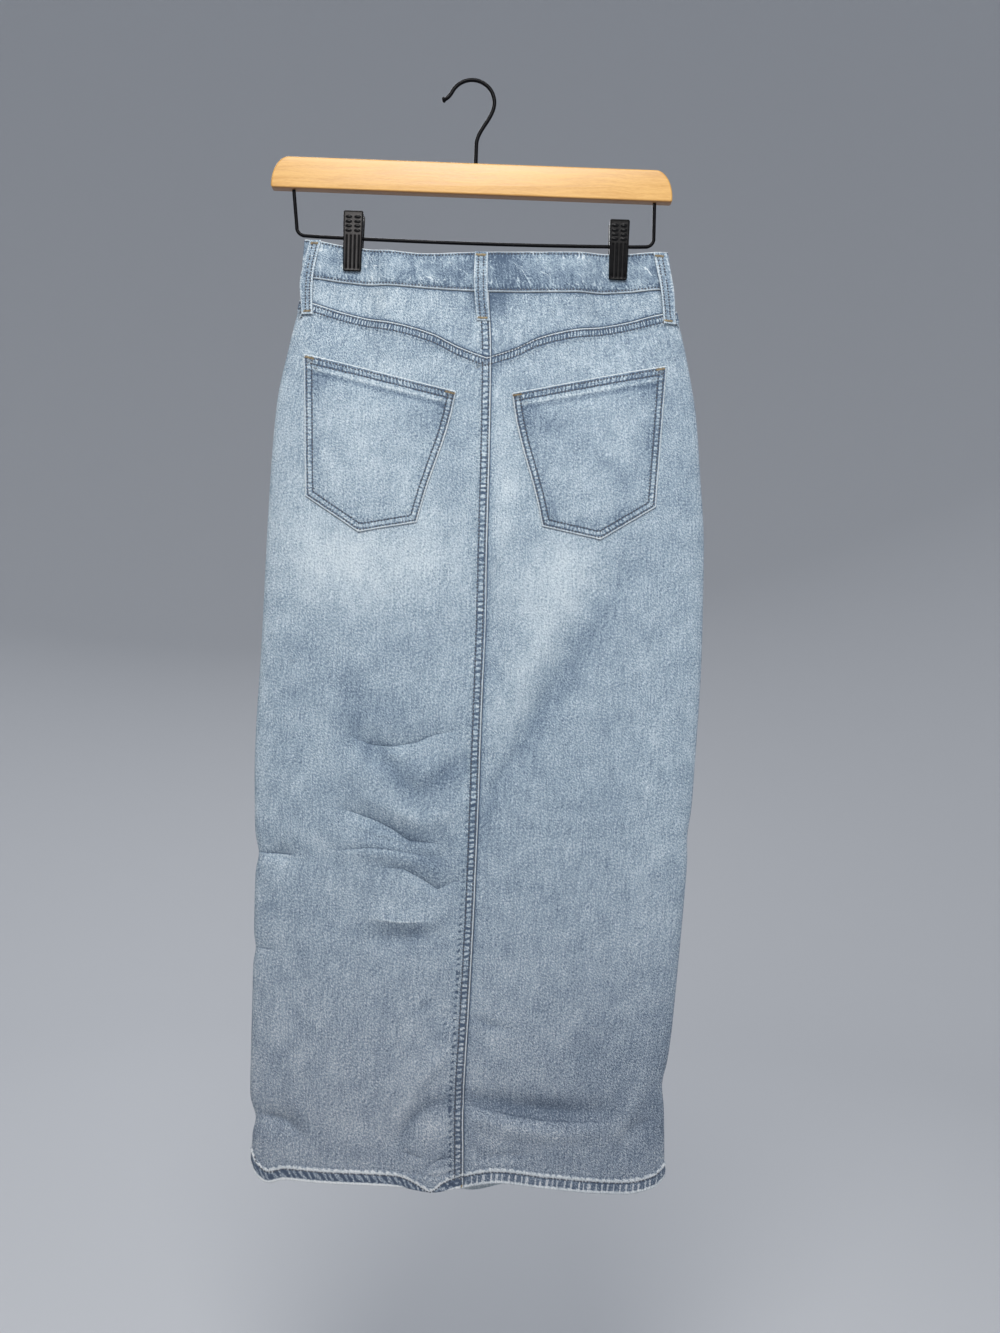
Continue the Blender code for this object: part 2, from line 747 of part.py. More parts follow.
def make_bar(material):
    half = BAR_THICKNESS / 2.0
    flat = half - BAR_ARRIS
    rings = []
    for inset, y in ((BAR_ARRIS, -half), (0.0, -flat), (0.0, flat), (BAR_ARRIS, half)):
        rings.append([Vector((x, y, z)) for x, z in bar_outline(inset)])
    bar = add_rings("hanger_bar", rings, material, sharp=30.0)
    add_bore("bore_hook", bar, STEM_X, BAR_TOP, -STEM_DEPTH - 1.0, STEM_BORE)
    add_bore("bore_rail_left", bar, RAIL_LEFT, BAR_BOTTOM, RAIL_DEPTH + 1.0, RAIL_BORE)
    add_bore("bore_rail_right", bar, RAIL_RIGHT, BAR_BOTTOM, RAIL_DEPTH + 1.0, RAIL_BORE)


def wire(name, places, radius, radii, material):
    """A round wire through (x, z) places in the plane Y = 0."""
    rings = []
    for k, (x, z) in enumerate(places):
        ahead = places[min(k + 1, len(places) - 1)]
        behind = places[max(k - 1, 0)]
        along = Vector((ahead[0] - behind[0], 0.0, ahead[1] - behind[1])).normalized()
        beside = Vector((-along.z, 0.0, along.x))
        r = radius * radii.get(k, 1.0)
        ring = []
        for j in range(WIRE_SIDES):
            a = 2.0 * math.pi * (j + 0.5) / WIRE_SIDES
            ring.append(Vector((x, r * math.sin(a), z)) + beside * (r * math.cos(a)))
        rings.append(ring)
    return add_rings(name, rings, material, sharp=50.0)


def bezier(a, b, c, d, count):
    """Places on a curve from a to d, without its first point."""
    out = []
    for k in range(1, count + 1):
        t = k / count
        s = 1.0 - t
        w = (s**3, 3.0 * s * s * t, 3.0 * s * t * t, t**3)
        out.append(tuple(w[0] * a[i] + w[1] * b[i] + w[2] * c[i] + w[3] * d[i] for i in range(2)))
    return out


def arc_place(degrees):
    a = math.radians(degrees)
    return (HOOK_MIDDLE[0] + HOOK_BEND * math.cos(a), HOOK_MIDDLE[1] + HOOK_BEND * math.sin(a))


def make_hook(material):
    steps = 22
    arc = [arc_place(HOOK_START + (HOOK_END - HOOK_START) * k / steps) for k in range(steps + 1)]
    tip_x, tip_z = HOOK_TIP
    flick = bezier(HOOK_TIP, (tip_x + 3.0, tip_z + 0.2), (arc[0][0] - 1.2, arc[0][1] - 2.6), arc[0], 5)
    places = [(tip_x - 1.9, tip_z - 0.6), (tip_x - 1.3, tip_z - 0.4), (tip_x - 0.2, tip_z - 0.1)]
    places += flick[:-1] + arc
    end = places[-1]
    before = places[-2]
    lead = (end[0] - before[0], end[1] - before[1])
    stem = (STEM_X, -60.0)
    places += bezier(end, (end[0] + 4.5 * lead[0], end[1] + 4.5 * lead[1]), (STEM_X, -47.0), stem, 10)
    places += [(STEM_X, -70.0), (STEM_X, BAR_TOP - bar_drop(STEM_X) - STEM_DEPTH)]
    ball = {0: 0.45, 1: 1.1, 2: 1.25}
    return wire("hanger_hook", places, HOOK_RADIUS, ball, material)


def rail_height(x):
    """The rail's middle, lowest halfway between its corners."""
    t = (x - RAIL_LOW_LEFT) / (RAIL_LOW_RIGHT - RAIL_LOW_LEFT)
    return RAIL_Z - RAIL_SAG * 4.0 * t * (1.0 - t)


def make_rail(material):
    corner = []
    for k in range(7):
        a = math.radians(180.0 + 90.0 * k / 6.0)
        corner.append((RAIL_CORNER * (1.0 + math.cos(a)), RAIL_CORNER * (1.0 + math.sin(a))))
    places = [(RAIL_LEFT, BAR_BOTTOM + RAIL_DEPTH), (RAIL_LEFT, BAR_BOTTOM - 1.0)]
    places += [(RAIL_LOW_LEFT + x, RAIL_Z + z) for x, z in corner]
    start = RAIL_LOW_LEFT + RAIL_CORNER
    run = RAIL_LOW_RIGHT - RAIL_CORNER - start
    places += [(start + run * k / 8.0, rail_height(start + run * k / 8.0)) for k in range(1, 8)]
    places += [(RAIL_LOW_RIGHT - x, RAIL_Z + z) for x, z in reversed(corner)]
    right_low = BAR_BOTTOM - bar_drop(RAIL_RIGHT)
    places += [(RAIL_RIGHT, right_low - 1.0), (RAIL_RIGHT, right_low + RAIL_DEPTH)]
    return wire("hanger_rail", places, RAIL_RADIUS, {}, material)


# Clips

def jaw_outside(z):
    """Distance of a jaw's outer face from the middle plane."""
    heights = [-JAW_TOP, -JAW_PIVOT, -JAW_BOTTOM]
    return hermite(heights, [JAW_OUT_TOP, JAW_OUT_MIDDLE, JAW_OUT_BOTTOM], -z)


def groove_edges():
    """Places across the jaw where the grooves start and end, as distances from its middle."""
    pitch = JAW_WIDTH_BOTTOM / (GROOVES + 1)
    edges = []
    for k in range(GROOVES):
        middle = (k - (GROOVES - 1) / 2.0) * pitch
        edges.append((middle - GROOVE_WIDTH / 2.0, middle + GROOVE_WIDTH / 2.0))
    return edges


def make_jaw(name, side, x_middle, material):
    """One jaw: grip at the top, throat beside the rail, seat on the band, grooves on its outside."""
    stations = [  # height, inner face, depth of the grooves, how much narrower
        (JAW_BOTTOM, JAW_SEAT + 0.6, 0.0, 1.2),
        (JAW_BOTTOM + 1.0, JAW_SEAT, 0.0, 0.0),
        (JAW_BOTTOM + 2.4, JAW_SEAT, 1.0, 0.0),
        (JAW_PIVOT - 8.0, JAW_SEAT, 1.0, 0.0),
        (JAW_PIVOT - 5.0, JAW_THROAT, 1.0, 0.0),
        (JAW_PIVOT + 1.5, JAW_THROAT, 1.0, 0.0),
        (JAW_PIVOT + 3.0, JAW_THROAT, 0.0, 0.0),
        (JAW_PIVOT + 7.0, JAW_THROAT + 0.3, 0.0, 0.0),
        (JAW_TOP - 1.0, JAW_OUT_TOP - 3.6, 0.0, 0.0),
        (JAW_TOP, JAW_OUT_TOP - 3.0, 0.0, 1.2),
    ]
    rings = []
    for z, seat, cut, narrower in stations:
        share = (z - JAW_BOTTOM) / (JAW_TOP - JAW_BOTTOM)
        half = (JAW_WIDTH_BOTTOM + (JAW_WIDTH_TOP - JAW_WIDTH_BOTTOM) * share - narrower) / 2.0
        out = jaw_outside(z) - (0.5 if narrower else 0.0)
        ring = [(-half, seat), (-half, out - 0.8), (-half + 0.8, out)]
        for a, b in groove_edges():
            deep = out - GROOVE_DEPTH * cut
            ring += [(a, out), (a + 0.3, deep), (b - 0.3, deep), (b, out)]
        ring += [(half - 0.8, out), (half, out - 0.8), (half, seat)]
        rings.append([Vector((x_middle + x, side * y, z)) for x, y in ring])
    return add_rings(name, rings, material, sharp=35.0)


def make_spring(name, x_middle, material):
    """The coil between the jaws, as a sleeve round the rail."""
    sides = 14
    height = rail_height(x_middle)
    half = SPRING_LENGTH / 2.0
    bore = RAIL_RADIUS + GAP + 0.15
    profile = ((bore, -half), (SPRING_RADIUS - 0.4, -half), (SPRING_RADIUS, 0.8 - half))
    profile += ((SPRING_RADIUS, half - 0.8), (SPRING_RADIUS - 0.4, half), (bore, half))
    bm = bmesh.new()
    rings = []
    for radius, x in profile:
        ring = []
        for k in range(sides):
            a = 2.0 * math.pi * k / sides
            place = Vector((x_middle + x, radius * math.cos(a), height + radius * math.sin(a)))
            ring.append(bm.verts.new(place * MM))
        rings.append(ring)
    for a, b in zip(rings, rings[1:] + rings[:1]):
        for k in range(sides):
            j = (k + 1) % sides
            bm.faces.new((a[k], a[j], b[j], b[k]))
    return finish_mesh(name, bm, material, sharp=30.0)


# The whole object

def clear_scene():
    for item in list(bpy.data.objects):
        bpy.data.objects.remove(item, do_unlink=True)


def make_skirt(denim, worn, brass):
    panel_width = max(row.right - row.left for row in SECTIONS) / 2.0
    lap = [LAP / panel_width, (LAP + EDGE) / panel_width]
    wide = columns(12, 5, lap)
    plain = columns(11, 5)
    back_rows = panel_rows([(170, 34), (340, 22), (540, 17), (650, 24), (776, 14)], True)
    front_rows = panel_rows([(480, 56), (836, 27)], False)
    for half, word in ((-1, "left"), (1, "right")):
        lapped = half < 0
        make_yoke("back_yoke_" + word, half, wide, denim)
        make_panel("back_panel_" + word, -1, half, back_rows, wide, yoke_line, HEM_BACK, lapped, denim)
        make_panel("front_panel_" + word, 1, half, front_rows, plain, front_line, HEM_FRONT, False, denim)
        make_pocket("back_pocket_" + word, half, worn)
    make_bands(denim)
    for loop in LOOPS:
        make_loop(loop, worn)
    make_button(brass)


def make_hanger(wood, black_metal, plastic):
    make_bar(wood)
    make_hook(black_metal)
    make_rail(black_metal)
    for word, x in (("left", CLIP_LEFT), ("right", CLIP_RIGHT)):
        make_jaw("clip_" + word + "_jaw_back", -1, x, plastic)
        make_jaw("clip_" + word + "_jaw_front", 1, x, plastic)
        make_spring("clip_" + word + "_spring", x, black_metal)


def main():
    clear_scene()
    denim = make_material("washed denim", (0.33, 0.43, 0.53), 0.9)
    worn = make_material("worn denim", (0.40, 0.49, 0.57), 0.9)
    brass = make_material("antique brass", (0.35, 0.24, 0.12), 0.45, 1.0)
    wood = make_material("beech", (0.78, 0.55, 0.31), 0.5)
    black_metal = make_material("black wire", (0.012, 0.012, 0.014), 0.35, 0.6)
    plastic = make_material("black plastic", (0.018, 0.018, 0.02), 0.5)
    make_skirt(denim, worn, brass)
    make_hanger(wood, black_metal, plastic)


main()
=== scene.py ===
import math

import bmesh
import bpy
import numpy as np
from mathutils import Matrix, Vector
from mathutils.bvhtree import BVHTree


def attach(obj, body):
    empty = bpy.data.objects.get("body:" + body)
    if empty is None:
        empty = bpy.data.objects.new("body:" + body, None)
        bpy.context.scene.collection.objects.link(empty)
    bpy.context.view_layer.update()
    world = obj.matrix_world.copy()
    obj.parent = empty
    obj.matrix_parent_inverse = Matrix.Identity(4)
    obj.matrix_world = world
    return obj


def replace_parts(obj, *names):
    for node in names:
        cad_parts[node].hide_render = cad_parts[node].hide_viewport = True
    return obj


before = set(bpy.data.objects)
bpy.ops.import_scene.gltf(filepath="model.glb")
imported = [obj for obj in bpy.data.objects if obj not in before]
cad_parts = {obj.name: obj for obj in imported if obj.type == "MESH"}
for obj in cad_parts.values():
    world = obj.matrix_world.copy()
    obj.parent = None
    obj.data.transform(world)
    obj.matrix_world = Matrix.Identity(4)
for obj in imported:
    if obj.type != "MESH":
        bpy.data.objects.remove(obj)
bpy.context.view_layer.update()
mm = 0.001  # everything below is in millimetres until a mesh is made
print("frame loaded:", len(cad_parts), "solids")


# The form of the hanging cloth, as the solids have it. The back of the skirt is towards -Y.

tube = {
    "gap": 0.3,  # between sewn pieces
    "denim": 1.4,  # thickness of one layer
    "slopeStep": 0.25,  # the slope of the cloth is taken over this much to each side
    "levels": {  # about where each line lies, to find its x
        "bandTop": -160.0, "bandLow": -197.0, "frontTop": -200.0, "yoke": -235.0, "middle": -540.0, "hem": -1040.0,
    },
    "foldFade": 0.45,
    "clips": (-106.5, 145.1),
    "clipHalf": 10.5,
    "clipFalloff": 29.0,
    "pinched": 0.35,
    "pinchBottom": -192.0,
    "pinchEnd": -300.0,
    "columns": ("left", "right", "seam", "back", "front"),
    "sections": {  # height: left, right, back seam, how far the back and the front stand off the middle
        -150: (-152.2, 190.0, 21.5, 8.5, 8.0),
        -205: (-154.5, 200.4, 24.0, 12.0, 10.5),
        -255: (-164.0, 213.0, 27.6, 17.5, 14.0),
        -310: (-174.0, 224.0, 29.0, 21.5, 16.5),
        -367: (-177.5, 230.0, 29.8, 23.5, 17.5),
        -440: (-179.5, 236.0, 30.2, 24.5, 17.5),
        -540: (-181.2, 237.0, 30.6, 23.5, 16.5),
        -640: (-184.0, 234.0, 30.2, 22.5, 15.5),
        -760: (-180.0, 228.6, 29.7, 21.5, 15.0),
        -880: (-178.8, 221.4, 27.4, 21.5, 14.5),
        -960: (-178.0, 215.6, 25.4, 22.0, 14.5),
        -1010: (-174.6, 217.2, 26.8, 22.5, 14.5),
        -1065: (-173.0, 218.4, 28.2, 23.0, 14.5),
    },
    "dents": (  # side, height, depth, half height
        (-1, -738, 3.4, 13), (-1, -828, 2.2, 10), (-1, -988, 4.4, 12), (1, -708, 2.0, 18), (1, -944, 3.0, 16),
    ),
}

lines = {  # heights across the cloth, as (x, z)
    "bandTopBack": ((-153, -155.3), (-99, -162.0), (-37, -167.2), (14, -164.5), (100, -161.0), (150, -159.2),
                    (191, -156.4)),
    "bandLowBack": ((-154, -192.2), (-59, -199.4), (16, -202.5), (109, -199.3), (196, -192.6)),
    "bandTopFront": ((-153, -155.3), (-99, -164.5), (19, -171.0), (140, -163.5), (191, -156.4)),
    "bandLowFront": ((-154, -192.2), (-99, -201.5), (19, -208.0), (140, -200.5), (196, -192.6)),
    "yoke": ((0, -265.5), (25, -256.4), (50, -244.2), (75, -236.9), (120, -228.0), (165, -217.2),
             (184, -212.0)),
    "hemBack": ((-174, -1026.0), (-168, -1041.0), (-157, -1047.5), (-139, -1042.8), (-104, -1043.2),
                (-35, -1042.3), (-2, -1046.4), (22, -1042.0), (60, -1035.8), (105, -1040.2), (150, -1043.9),
                (180, -1045.2), (206, -1040.6), (218, -1031.0)),
    "hemFront": ((-174, -1026.0), (-160, -1040.0), (-100, -1045.0), (0, -1050.0), (34, -1057.5),
                 (70, -1050.0), (150, -1046.0), (200, -1040.0), (218, -1031.0)),
}
yokeMiddle = 22.5

# Folds and creases: rise outwards, half width, points. The wide ones are in the solids too.
backFolds = {
    "hip slant": (-4.5, 19, ((146, -452), (120, -502), (101, -549), (81, -591), (41, -668))),
    "seat pinch": (-3.0, 13, ((48, -452), (36, -484), (35, -518), (36, -560))),
    "upper smile": (-3.0, 14, ((-95, -622), (-62, -632), (-31, -628), (5, -616))),
    "upper smile lip": (2.2, 14, ((-92, -656), (-52, -660), (-4, -655))),
    "knee crease": (-4.5, 13, ((-100, -692), (-62, -703), (-34, -720), (-6, -721))),
    "knee crease lip": (2.5, 12, ((-96, -722), (-60, -728), (-24, -736))),
    "knee tuck": (-3.5, 12, ((-58, -745), (-30, -750), (-6, -764), (14, -755))),
    "left nip": (-4.0, 11, ((-172, -737), (-140, -738))),
    "shin ridge": (3.0, 12, ((-70, -792), (-38, -795), (-12, -793))),
    "shin hollow": (-3.0, 11, ((-66, -812), (-30, -813), (0, -806))),
    "low slant": (3.0, 13, ((8, -910), (-10, -930), (-34, -951))),
    "low hollow": (-3.4, 12, ((16, -964), (-8, -973), (-40, -1001))),
    "left hem fold": (-4.6, 12, ((-170, -984), (-141, -989), (-124, -1001))),
    "overhang": (-4.0, 12, ((28, -960), (58, -959), (90, -965), (124, -967), (160, -966))),
    "overhang lip": (2.0, 11, ((42, -976), (80, -982), (124, -983), (156, -979))),
    "right hem nip": (-2.6, 12, ((168, -1000), (200, -978))),
}
frontFolds = {
    "front hip slant": (-4.0, 20, ((-110, -430), (-80, -500), (-40, -570))),
    "front knee crease": (-3.5, 16, ((40, -700), (80, -712), (120, -705))),
    "front knee lip": (2.5, 15, ((44, -736), (84, -746), (122, -740))),
    "front low crease": (-3.5, 16, ((-100, -930), (-60, -942), (-10, -938))),
    "front low lip": (2.5, 15, ((-96, -962), (-52, -972), (-8, -968))),
}
backCreases = {
    "slant tail": (-1.1, 3.5, ((64, -634), (44, -664), (40, -700), (38, -742))),
    "pinch line": (-1.5, 4.5, ((55, -430), (42, -460), (35, -484), (34, -518), (34, -556))),
    "smile": (-1.7, 2.8, ((-91, -624), (-74, -631), (-52, -632), (-31, -628), (-14, -620), (5, -616))),
    "smile shade": (-1.0, 18, ((-116, -560), (-84, -590), (-50, -600))),
    "smile lip": (0.9, 5, ((-80, -640), (-52, -641), (-24, -636))),
    "hollow left": (-3.2, 11, ((-84, -622), (-55, -651), (-26, -676))),
    "hollow right": (-3.0, 10, ((-26, -676), (-4, -660), (15, -634))),
    "hollow lip": (2.2, 8, ((-70, -682), (-44, -694), (-20, -702), (18, -682))),
    "hip shade": (-2.8, 12, ((161, -458), (140, -502), (117, -546), (87, -594), (64, -642), (43, -681),
                             (36, -715))),
    "hip light": (1.8, 14, ((110, -462), (86, -530), (64, -590), (44, -640))),
    "knee": (-2.3, 2.9, ((-97, -692), (-68, -701), (-49, -710), (-34, -720), (-9, -721))),
    "knee lip": (1.2, 4.5, ((-84, -706), (-56, -716), (-40, -727), (-14, -729))),
    "knee second": (-1.4, 2.4, ((-102, -731), (-70, -727), (-48, -729), (-19, -733))),
    "knee third": (-2.0, 3.0, ((-56, -745), (-39, -746), (-23, -754), (-6, -764), (13, -755))),
    "knee pocket": (-1.8, 7, ((-16, -738), (2, -731))),
    "knee hollow": (-1.7, 8, ((-66, -712), (-36, -724), (-4, -742))),
    "side nip": (-2.3, 3.0, ((-178, -737), (-142, -738))),
    "side nip lip": (1.0, 4.0, ((-178, -745), (-150, -746))),
    "shin line": (1.5, 3.0, ((-68, -793), (-39, -795), (-13, -794))),
    "shin shade": (-1.6, 8, ((-58, -805), (-30, -807), (-6, -803))),
    "side nip low": (-1.4, 2.8, ((-178, -827), (-158, -828))),
    "low tick left": (-1.5, 3.2, ((-24, -882), (-8, -868))),
    "low tick right": (-1.5, 3.2, ((13, -872), (5, -886))),
    "low ridge": (2.2, 7, ((7, -914), (-12, -938), (-33, -972), (-48, -1000))),
    "low dip": (-2.4, 6, ((12, -960), (-6, -966), (-22, -982), (-32, -1002), (-30, -1018))),
    "low swell": (1.5, 9, ((2, -978), (-4, -1000))),
    "low dip two": (-1.4, 2.8, ((-32, -1010), (-10, -1015))),
    "low dip three": (-1.4, 2.6, ((-8, -1024), (5, -1015), (19, -1013))),
    "left low": (-2.2, 3.6, ((-178, -983), (-170, -984), (-141, -988), (-126, -1000))),
    "overhang shade": (-3.6, 9.0, ((27, -960), (46, -962), (72, -967), (100, -970), (134, -971), (160, -969))),
    "overhang line": (-1.6, 3.0, ((27, -964), (46, -968), (69, -974), (98, -978), (126, -979), (156, -978))),
    "overhang edge": (1.8, 6.5, ((40, -979), (73, -987), (110, -991), (150, -989))),
    "right soft": (-1.0, 7, ((176, -888), (152, -900))),
    "right soft two": (-1.3, 16, ((120, -908), (156, -918))),
    "right low ridge": (1.9, 8, ((201, -923), (182, -965), (156, -1010))),
    "right tick": (-1.6, 4.5, ((33, -883), (50, -890), (68, -892))),
    "right low": (-1.7, 4.5, ((34, -1003), (47, -1012), (89, -1008))),
    "right low side": (-1.3, 3.2, ((182, -984), (201, -977), (214, -975))),
    "right low dent": (-1.4, 12, ((164, -1004), (178, -1008))),
}
frontCreases = {
    "front smile": (-1.6, 3.4, ((36, -702), (78, -714), (122, -705))),
    "front smile two": (-1.2, 3.0, ((-14, -660), (-52, -672), (-84, -668))),
    "front low line": (-1.8, 4.0, ((-102, -928), (-60, -941), (-8, -937))),
    "front low ridge": (1.2, 5.0, ((60, -880), (96, -894), (128, -889))),
    "front side nip": (-1.6, 3.4, ((216, -820), (188, -823))),
}


def smoothstep(t):
    t = np.clip(t, 0.0, 1.0)
    return t * t * (3.0 - 2.0 * t)


def partWay(a, b, t):
    return a + (b - a) * t


def bump(t):  # 1 at 0, falling to 0
    return np.exp(-t * t)


def rounded(t):  # a quarter circle from 0 up to 1
    return np.sqrt(1.0 - (1.0 - np.clip(t, 0.0, 1.0)) ** 2)


def least(first, *others):
    for other in others:
        first = np.minimum(first, other)
    return first


def smoothCurve(xs, ys, x):  # passes through every point and never overshoots
    xs, ys, x = np.array(xs, float), np.array(ys, float), np.asarray(x, float)
    slopes = np.diff(ys) / np.diff(xs)
    tangents = np.concatenate((slopes[:1], np.zeros(len(xs) - 2), slopes[-1:]))
    product = slopes[:-1] * slopes[1:]
    total = np.where(product > 0.0, slopes[:-1] + slopes[1:], 1.0)
    tangents[1:-1] = np.where(product > 0.0, 2.0 * product / total, 0.0)
    x = np.clip(x, xs[0], xs[-1])
    k = np.clip(np.searchsorted(xs, x) - 1, 0, len(xs) - 2)
    step = xs[k + 1] - xs[k]
    t = (x - xs[k]) / step
    a, b, rise = tangents[k] * step, tangents[k + 1] * step, ys[k + 1] - ys[k]
    return ys[k] + t * (a + t * (3.0 * rise - 2.0 * a - b + t * (a + b - 2.0 * rise)))


def lineHeight(name, x):
    return smoothCurve(*zip(*lines[name]), x)


def sectionAt(z):
    heights = [-h for h in tube["sections"]]
    columns = zip(tube["columns"], zip(*tube["sections"].values()))
    values = {name: smoothCurve(heights, column, -np.asarray(z, float)) for name, column in columns}
    for side, height, depth, tall in tube["dents"]:
        name = "left" if side < 0 else "right"
        values[name] = values[name] - side * depth * bump((z - height) / tall)
    return values


def clipHold(x, z):  # 1 between the jaws of a clip, 0 away from them
    nearest = least(*(abs(x - middle) for middle in tube["clips"]))
    beside = 1.0 - smoothstep((nearest - tube["clipHalf"]) / tube["clipFalloff"])
    tall = tube["pinchBottom"] - tube["pinchEnd"]
    return beside * (1.0 - smoothstep((tube["pinchBottom"] - z) / tall))


def nearestOnPath(points, x, z):  # how far off a path, how far along it, 1 above or -1 below, and its length
    best, length = np.full(np.shape(x), 1e9), 0.0
    along, above = np.zeros(np.shape(x)), np.zeros(np.shape(x))
    for (ax, az), (bx, bz) in zip(points, points[1:]):
        wide, tall = bx - ax, bz - az
        run = math.hypot(wide, tall)
        t = np.clip(((x - ax) * wide + (z - az) * tall) / run**2, 0.0, 1.0)
        away = np.hypot(x - ax - t * wide, z - az - t * tall)
        side = np.sign(wide * (z - az) - tall * (x - ax)) * (1.0 if wide > 0.0 else -1.0)
        closer = away < best
        best = np.where(closer, away, best)
        along = np.where(closer, length + t * run, along)
        above = np.where(closer, side, above)
        length += run
    return best, along, above, length


def foldField(folds, x, z):
    moved = np.zeros(np.shape(x))
    for rise, width, points in folds.values():
        away, along, _, length = nearestOnPath(points, x, z)
        swell = 0.35 + 0.65 * np.sin(np.pi * (along / length))  # deepest halfway along
        moved += np.where(away < 3.0 * width, rise * swell * bump(away / width), 0.0)
    return moved


def ripple(x, z, cell, seed):  # smooth random field about -1 to 1, features about a cell wide
    size = 97
    table = np.random.default_rng(seed).uniform(-1.0, 1.0, (size, size))
    fx, fz = np.asarray(x) / cell, np.asarray(z) / cell
    ix, iz = np.floor(fx).astype(int), np.floor(fz).astype(int)
    tx, tz = smoothstep(fx - ix), smoothstep(fz - iz)
    a, b, c, d = (table[(ix + dx) % size, (iz + dz) % size] for dx in (0, 1) for dz in (0, 1))
    return (a * (1 - tx) + c * tx) * (1 - tz) + (b * (1 - tx) + d * tx) * tz


relief = {  # uneven surface of the washed cloth
    "waves": ((46.0, 0.55), (19.0, 0.28), (8.0, 0.10)),  # cell size and height
    "slubs": (1.7, 1.3),  # cells are narrowed by the first number and widened by the second
    "seeds": {-1: 11, 1: 16},
}


def unevenness(side, x, z):
    narrow, wide = relief["slubs"]
    total = np.zeros(np.shape(x))
    for k, (cell, height) in enumerate(relief["waves"]):
        total += height * ripple(x * narrow / wide, z, cell, relief["seeds"][side] + k)
    return total


def creasesOn(side):
    return backCreases if side < 0 else frontCreases


def creaseField(side, x, z):
    return foldField(creasesOn(side), x, z)


creaseLines = {"width": 3.05, "reach": 12.0, "strength": 0.33, "limit": 1.2}  # drawn on the cloth too, as painted shade and painted highlights


def creaseLayer(side, x, z):  # signed distance from the nearest narrow crease, how strong it is there, nothing
    nearest = np.full(np.shape(x), creaseLines["reach"])
    strength = np.zeros(np.shape(x))
    for rise, width, points in creasesOn(side).values():
        if width > creaseLines["width"]:
            continue
        away, along, above, length = nearestOnPath(points, x, z)
        ends = np.sqrt(np.clip(np.sin(np.pi * (along / length)), 0.0, 1.0))
        closer = away < abs(nearest)
        nearest = np.where(closer, away * above, nearest)
        strength = np.where(closer, -creaseLines["strength"] * rise * ends, strength)
    return nearest, np.clip(strength, -creaseLines["limit"], creaseLines["limit"]), 0.0


def innerDepth(side, x, z):
    row = sectionAt(z)
    middle = (row["left"] + row["right"]) / 2.0
    half = (row["right"] - row["left"]) / 2.0 - tube["denim"]
    level = np.sqrt(np.maximum(0.0, 1.0 - ((x - middle) / half) ** 2))
    full = row["back"] if side < 0 else row["front"]
    folds = foldField(backFolds if side < 0 else frontFolds, x, z)
    folds = folds + creaseField(side, x, z) + unevenness(side, x, z)
    depth = full * level + folds * np.minimum(1.0, level / tube["foldFade"])
    held = clipHold(x, z)
    return np.maximum(depth * (1.0 - held) + tube["pinched"] * held, 0.0)


def across(side, q, z):  # x at a share q of the way from the middle seam: -1 left edge, 1 right edge
    row = sectionAt(z)
    seam = row["seam"] if side < 0 else (row["left"] + row["right"]) / 2.0
    end = np.where(np.asarray(q) < 0, row["left"] + tube["denim"], row["right"] - tube["denim"])
    return partWay(seam, end, abs(q))


def onCloth(side, x, z, height):  # points this far off the wall of cloth, and which way it faces there
    x, z = np.broadcast_arrays(np.asarray(x, float), np.asarray(z, float))
    row = sectionAt(z)
    left, right = row["left"] + tube["denim"], row["right"] - tube["denim"]
    room = np.maximum(least(x - left, right - x), 1e-4)
    dx, dz = np.minimum(tube["slopeStep"], 0.5 * room), tube["slopeStep"]
    slopeX = (innerDepth(side, x + dx, z) - innerDepth(side, x - dx, z)) / (2.0 * dx)
    slopeZ = (innerDepth(side, x, z + dz) - innerDepth(side, x, z - dz)) / (2.0 * dz)
    normal = np.stack((-slopeX, np.full(x.shape, float(side)), -slopeZ), axis=-1)
    normal /= np.linalg.norm(normal, axis=-1, keepdims=True)
    normal = np.where((x <= left + 0.01)[..., None], (-1.0, 0.0, 0.0), normal)
    normal = np.where((x >= right - 0.01)[..., None], (1.0, 0.0, 0.0), normal)
    point = np.stack((x, side * (innerDepth(side, x, z) + tube["gap"] / 2.0), z), axis=-1)
    return point + normal * np.asarray(height)[..., None], normal


def yokeHeight(x):
    return lineHeight("yoke", abs(x - yokeMiddle))


def border(distance, width, rise, step=1.5):  # raised up to a width from an edge
    return rise * (1.0 - smoothstep((distance - width) / step))


# Meshes from grids of points

edgeRound = 0.9
edgePlaces = (0.0, 0.15, 0.45, 0.9, 1.7)  # points close enough together to round an edge
borderPlaces = (0.0, 0.75, 1.5)  # and to step down from a raised border


def spread(length, step, borders=()):
    rim = edgePlaces[-1]
    places = [*edgePlaces, *(length - p for p in edgePlaces)]
    places += [at + p for at in borders for p in borderPlaces]
    count = max(2, round((length - 2.0 * rim) / step))
    for k in range(1, count):
        at = rim + (length - 2.0 * rim) * k / count
        if all(abs(at - p) > 0.5 * step for p in places):
            places.append(at)
    return np.array(sorted(places))


def sheetFaces(rowCount, columnCount):  # outer side, inner side and the rim between them
    other = rowCount * columnCount
    index = np.arange(other).reshape(rowCount, columnCount)
    a, b = index[:-1, :-1].ravel(), index[:-1, 1:].ravel()
    c, d = index[1:, 1:].ravel(), index[1:, :-1].ravel()
    rim = np.concatenate((index[0], index[1:, -1], index[-1, -2::-1], index[-2:0:-1, 0]))
    after = np.roll(rim, -1)
    inside, edge = (d + other, c + other, b + other, a + other), (after, rim, rim + other, after + other)
    return [face for part in ((a, b, c, d), inside, edge) for face in np.stack(part, axis=1).tolist()]


def smoothMesh(name, points, faces):
    mesh = bpy.data.meshes.new(name)
    mesh.from_pydata(points, [], faces)
    mesh.shade_smooth()
    return mesh


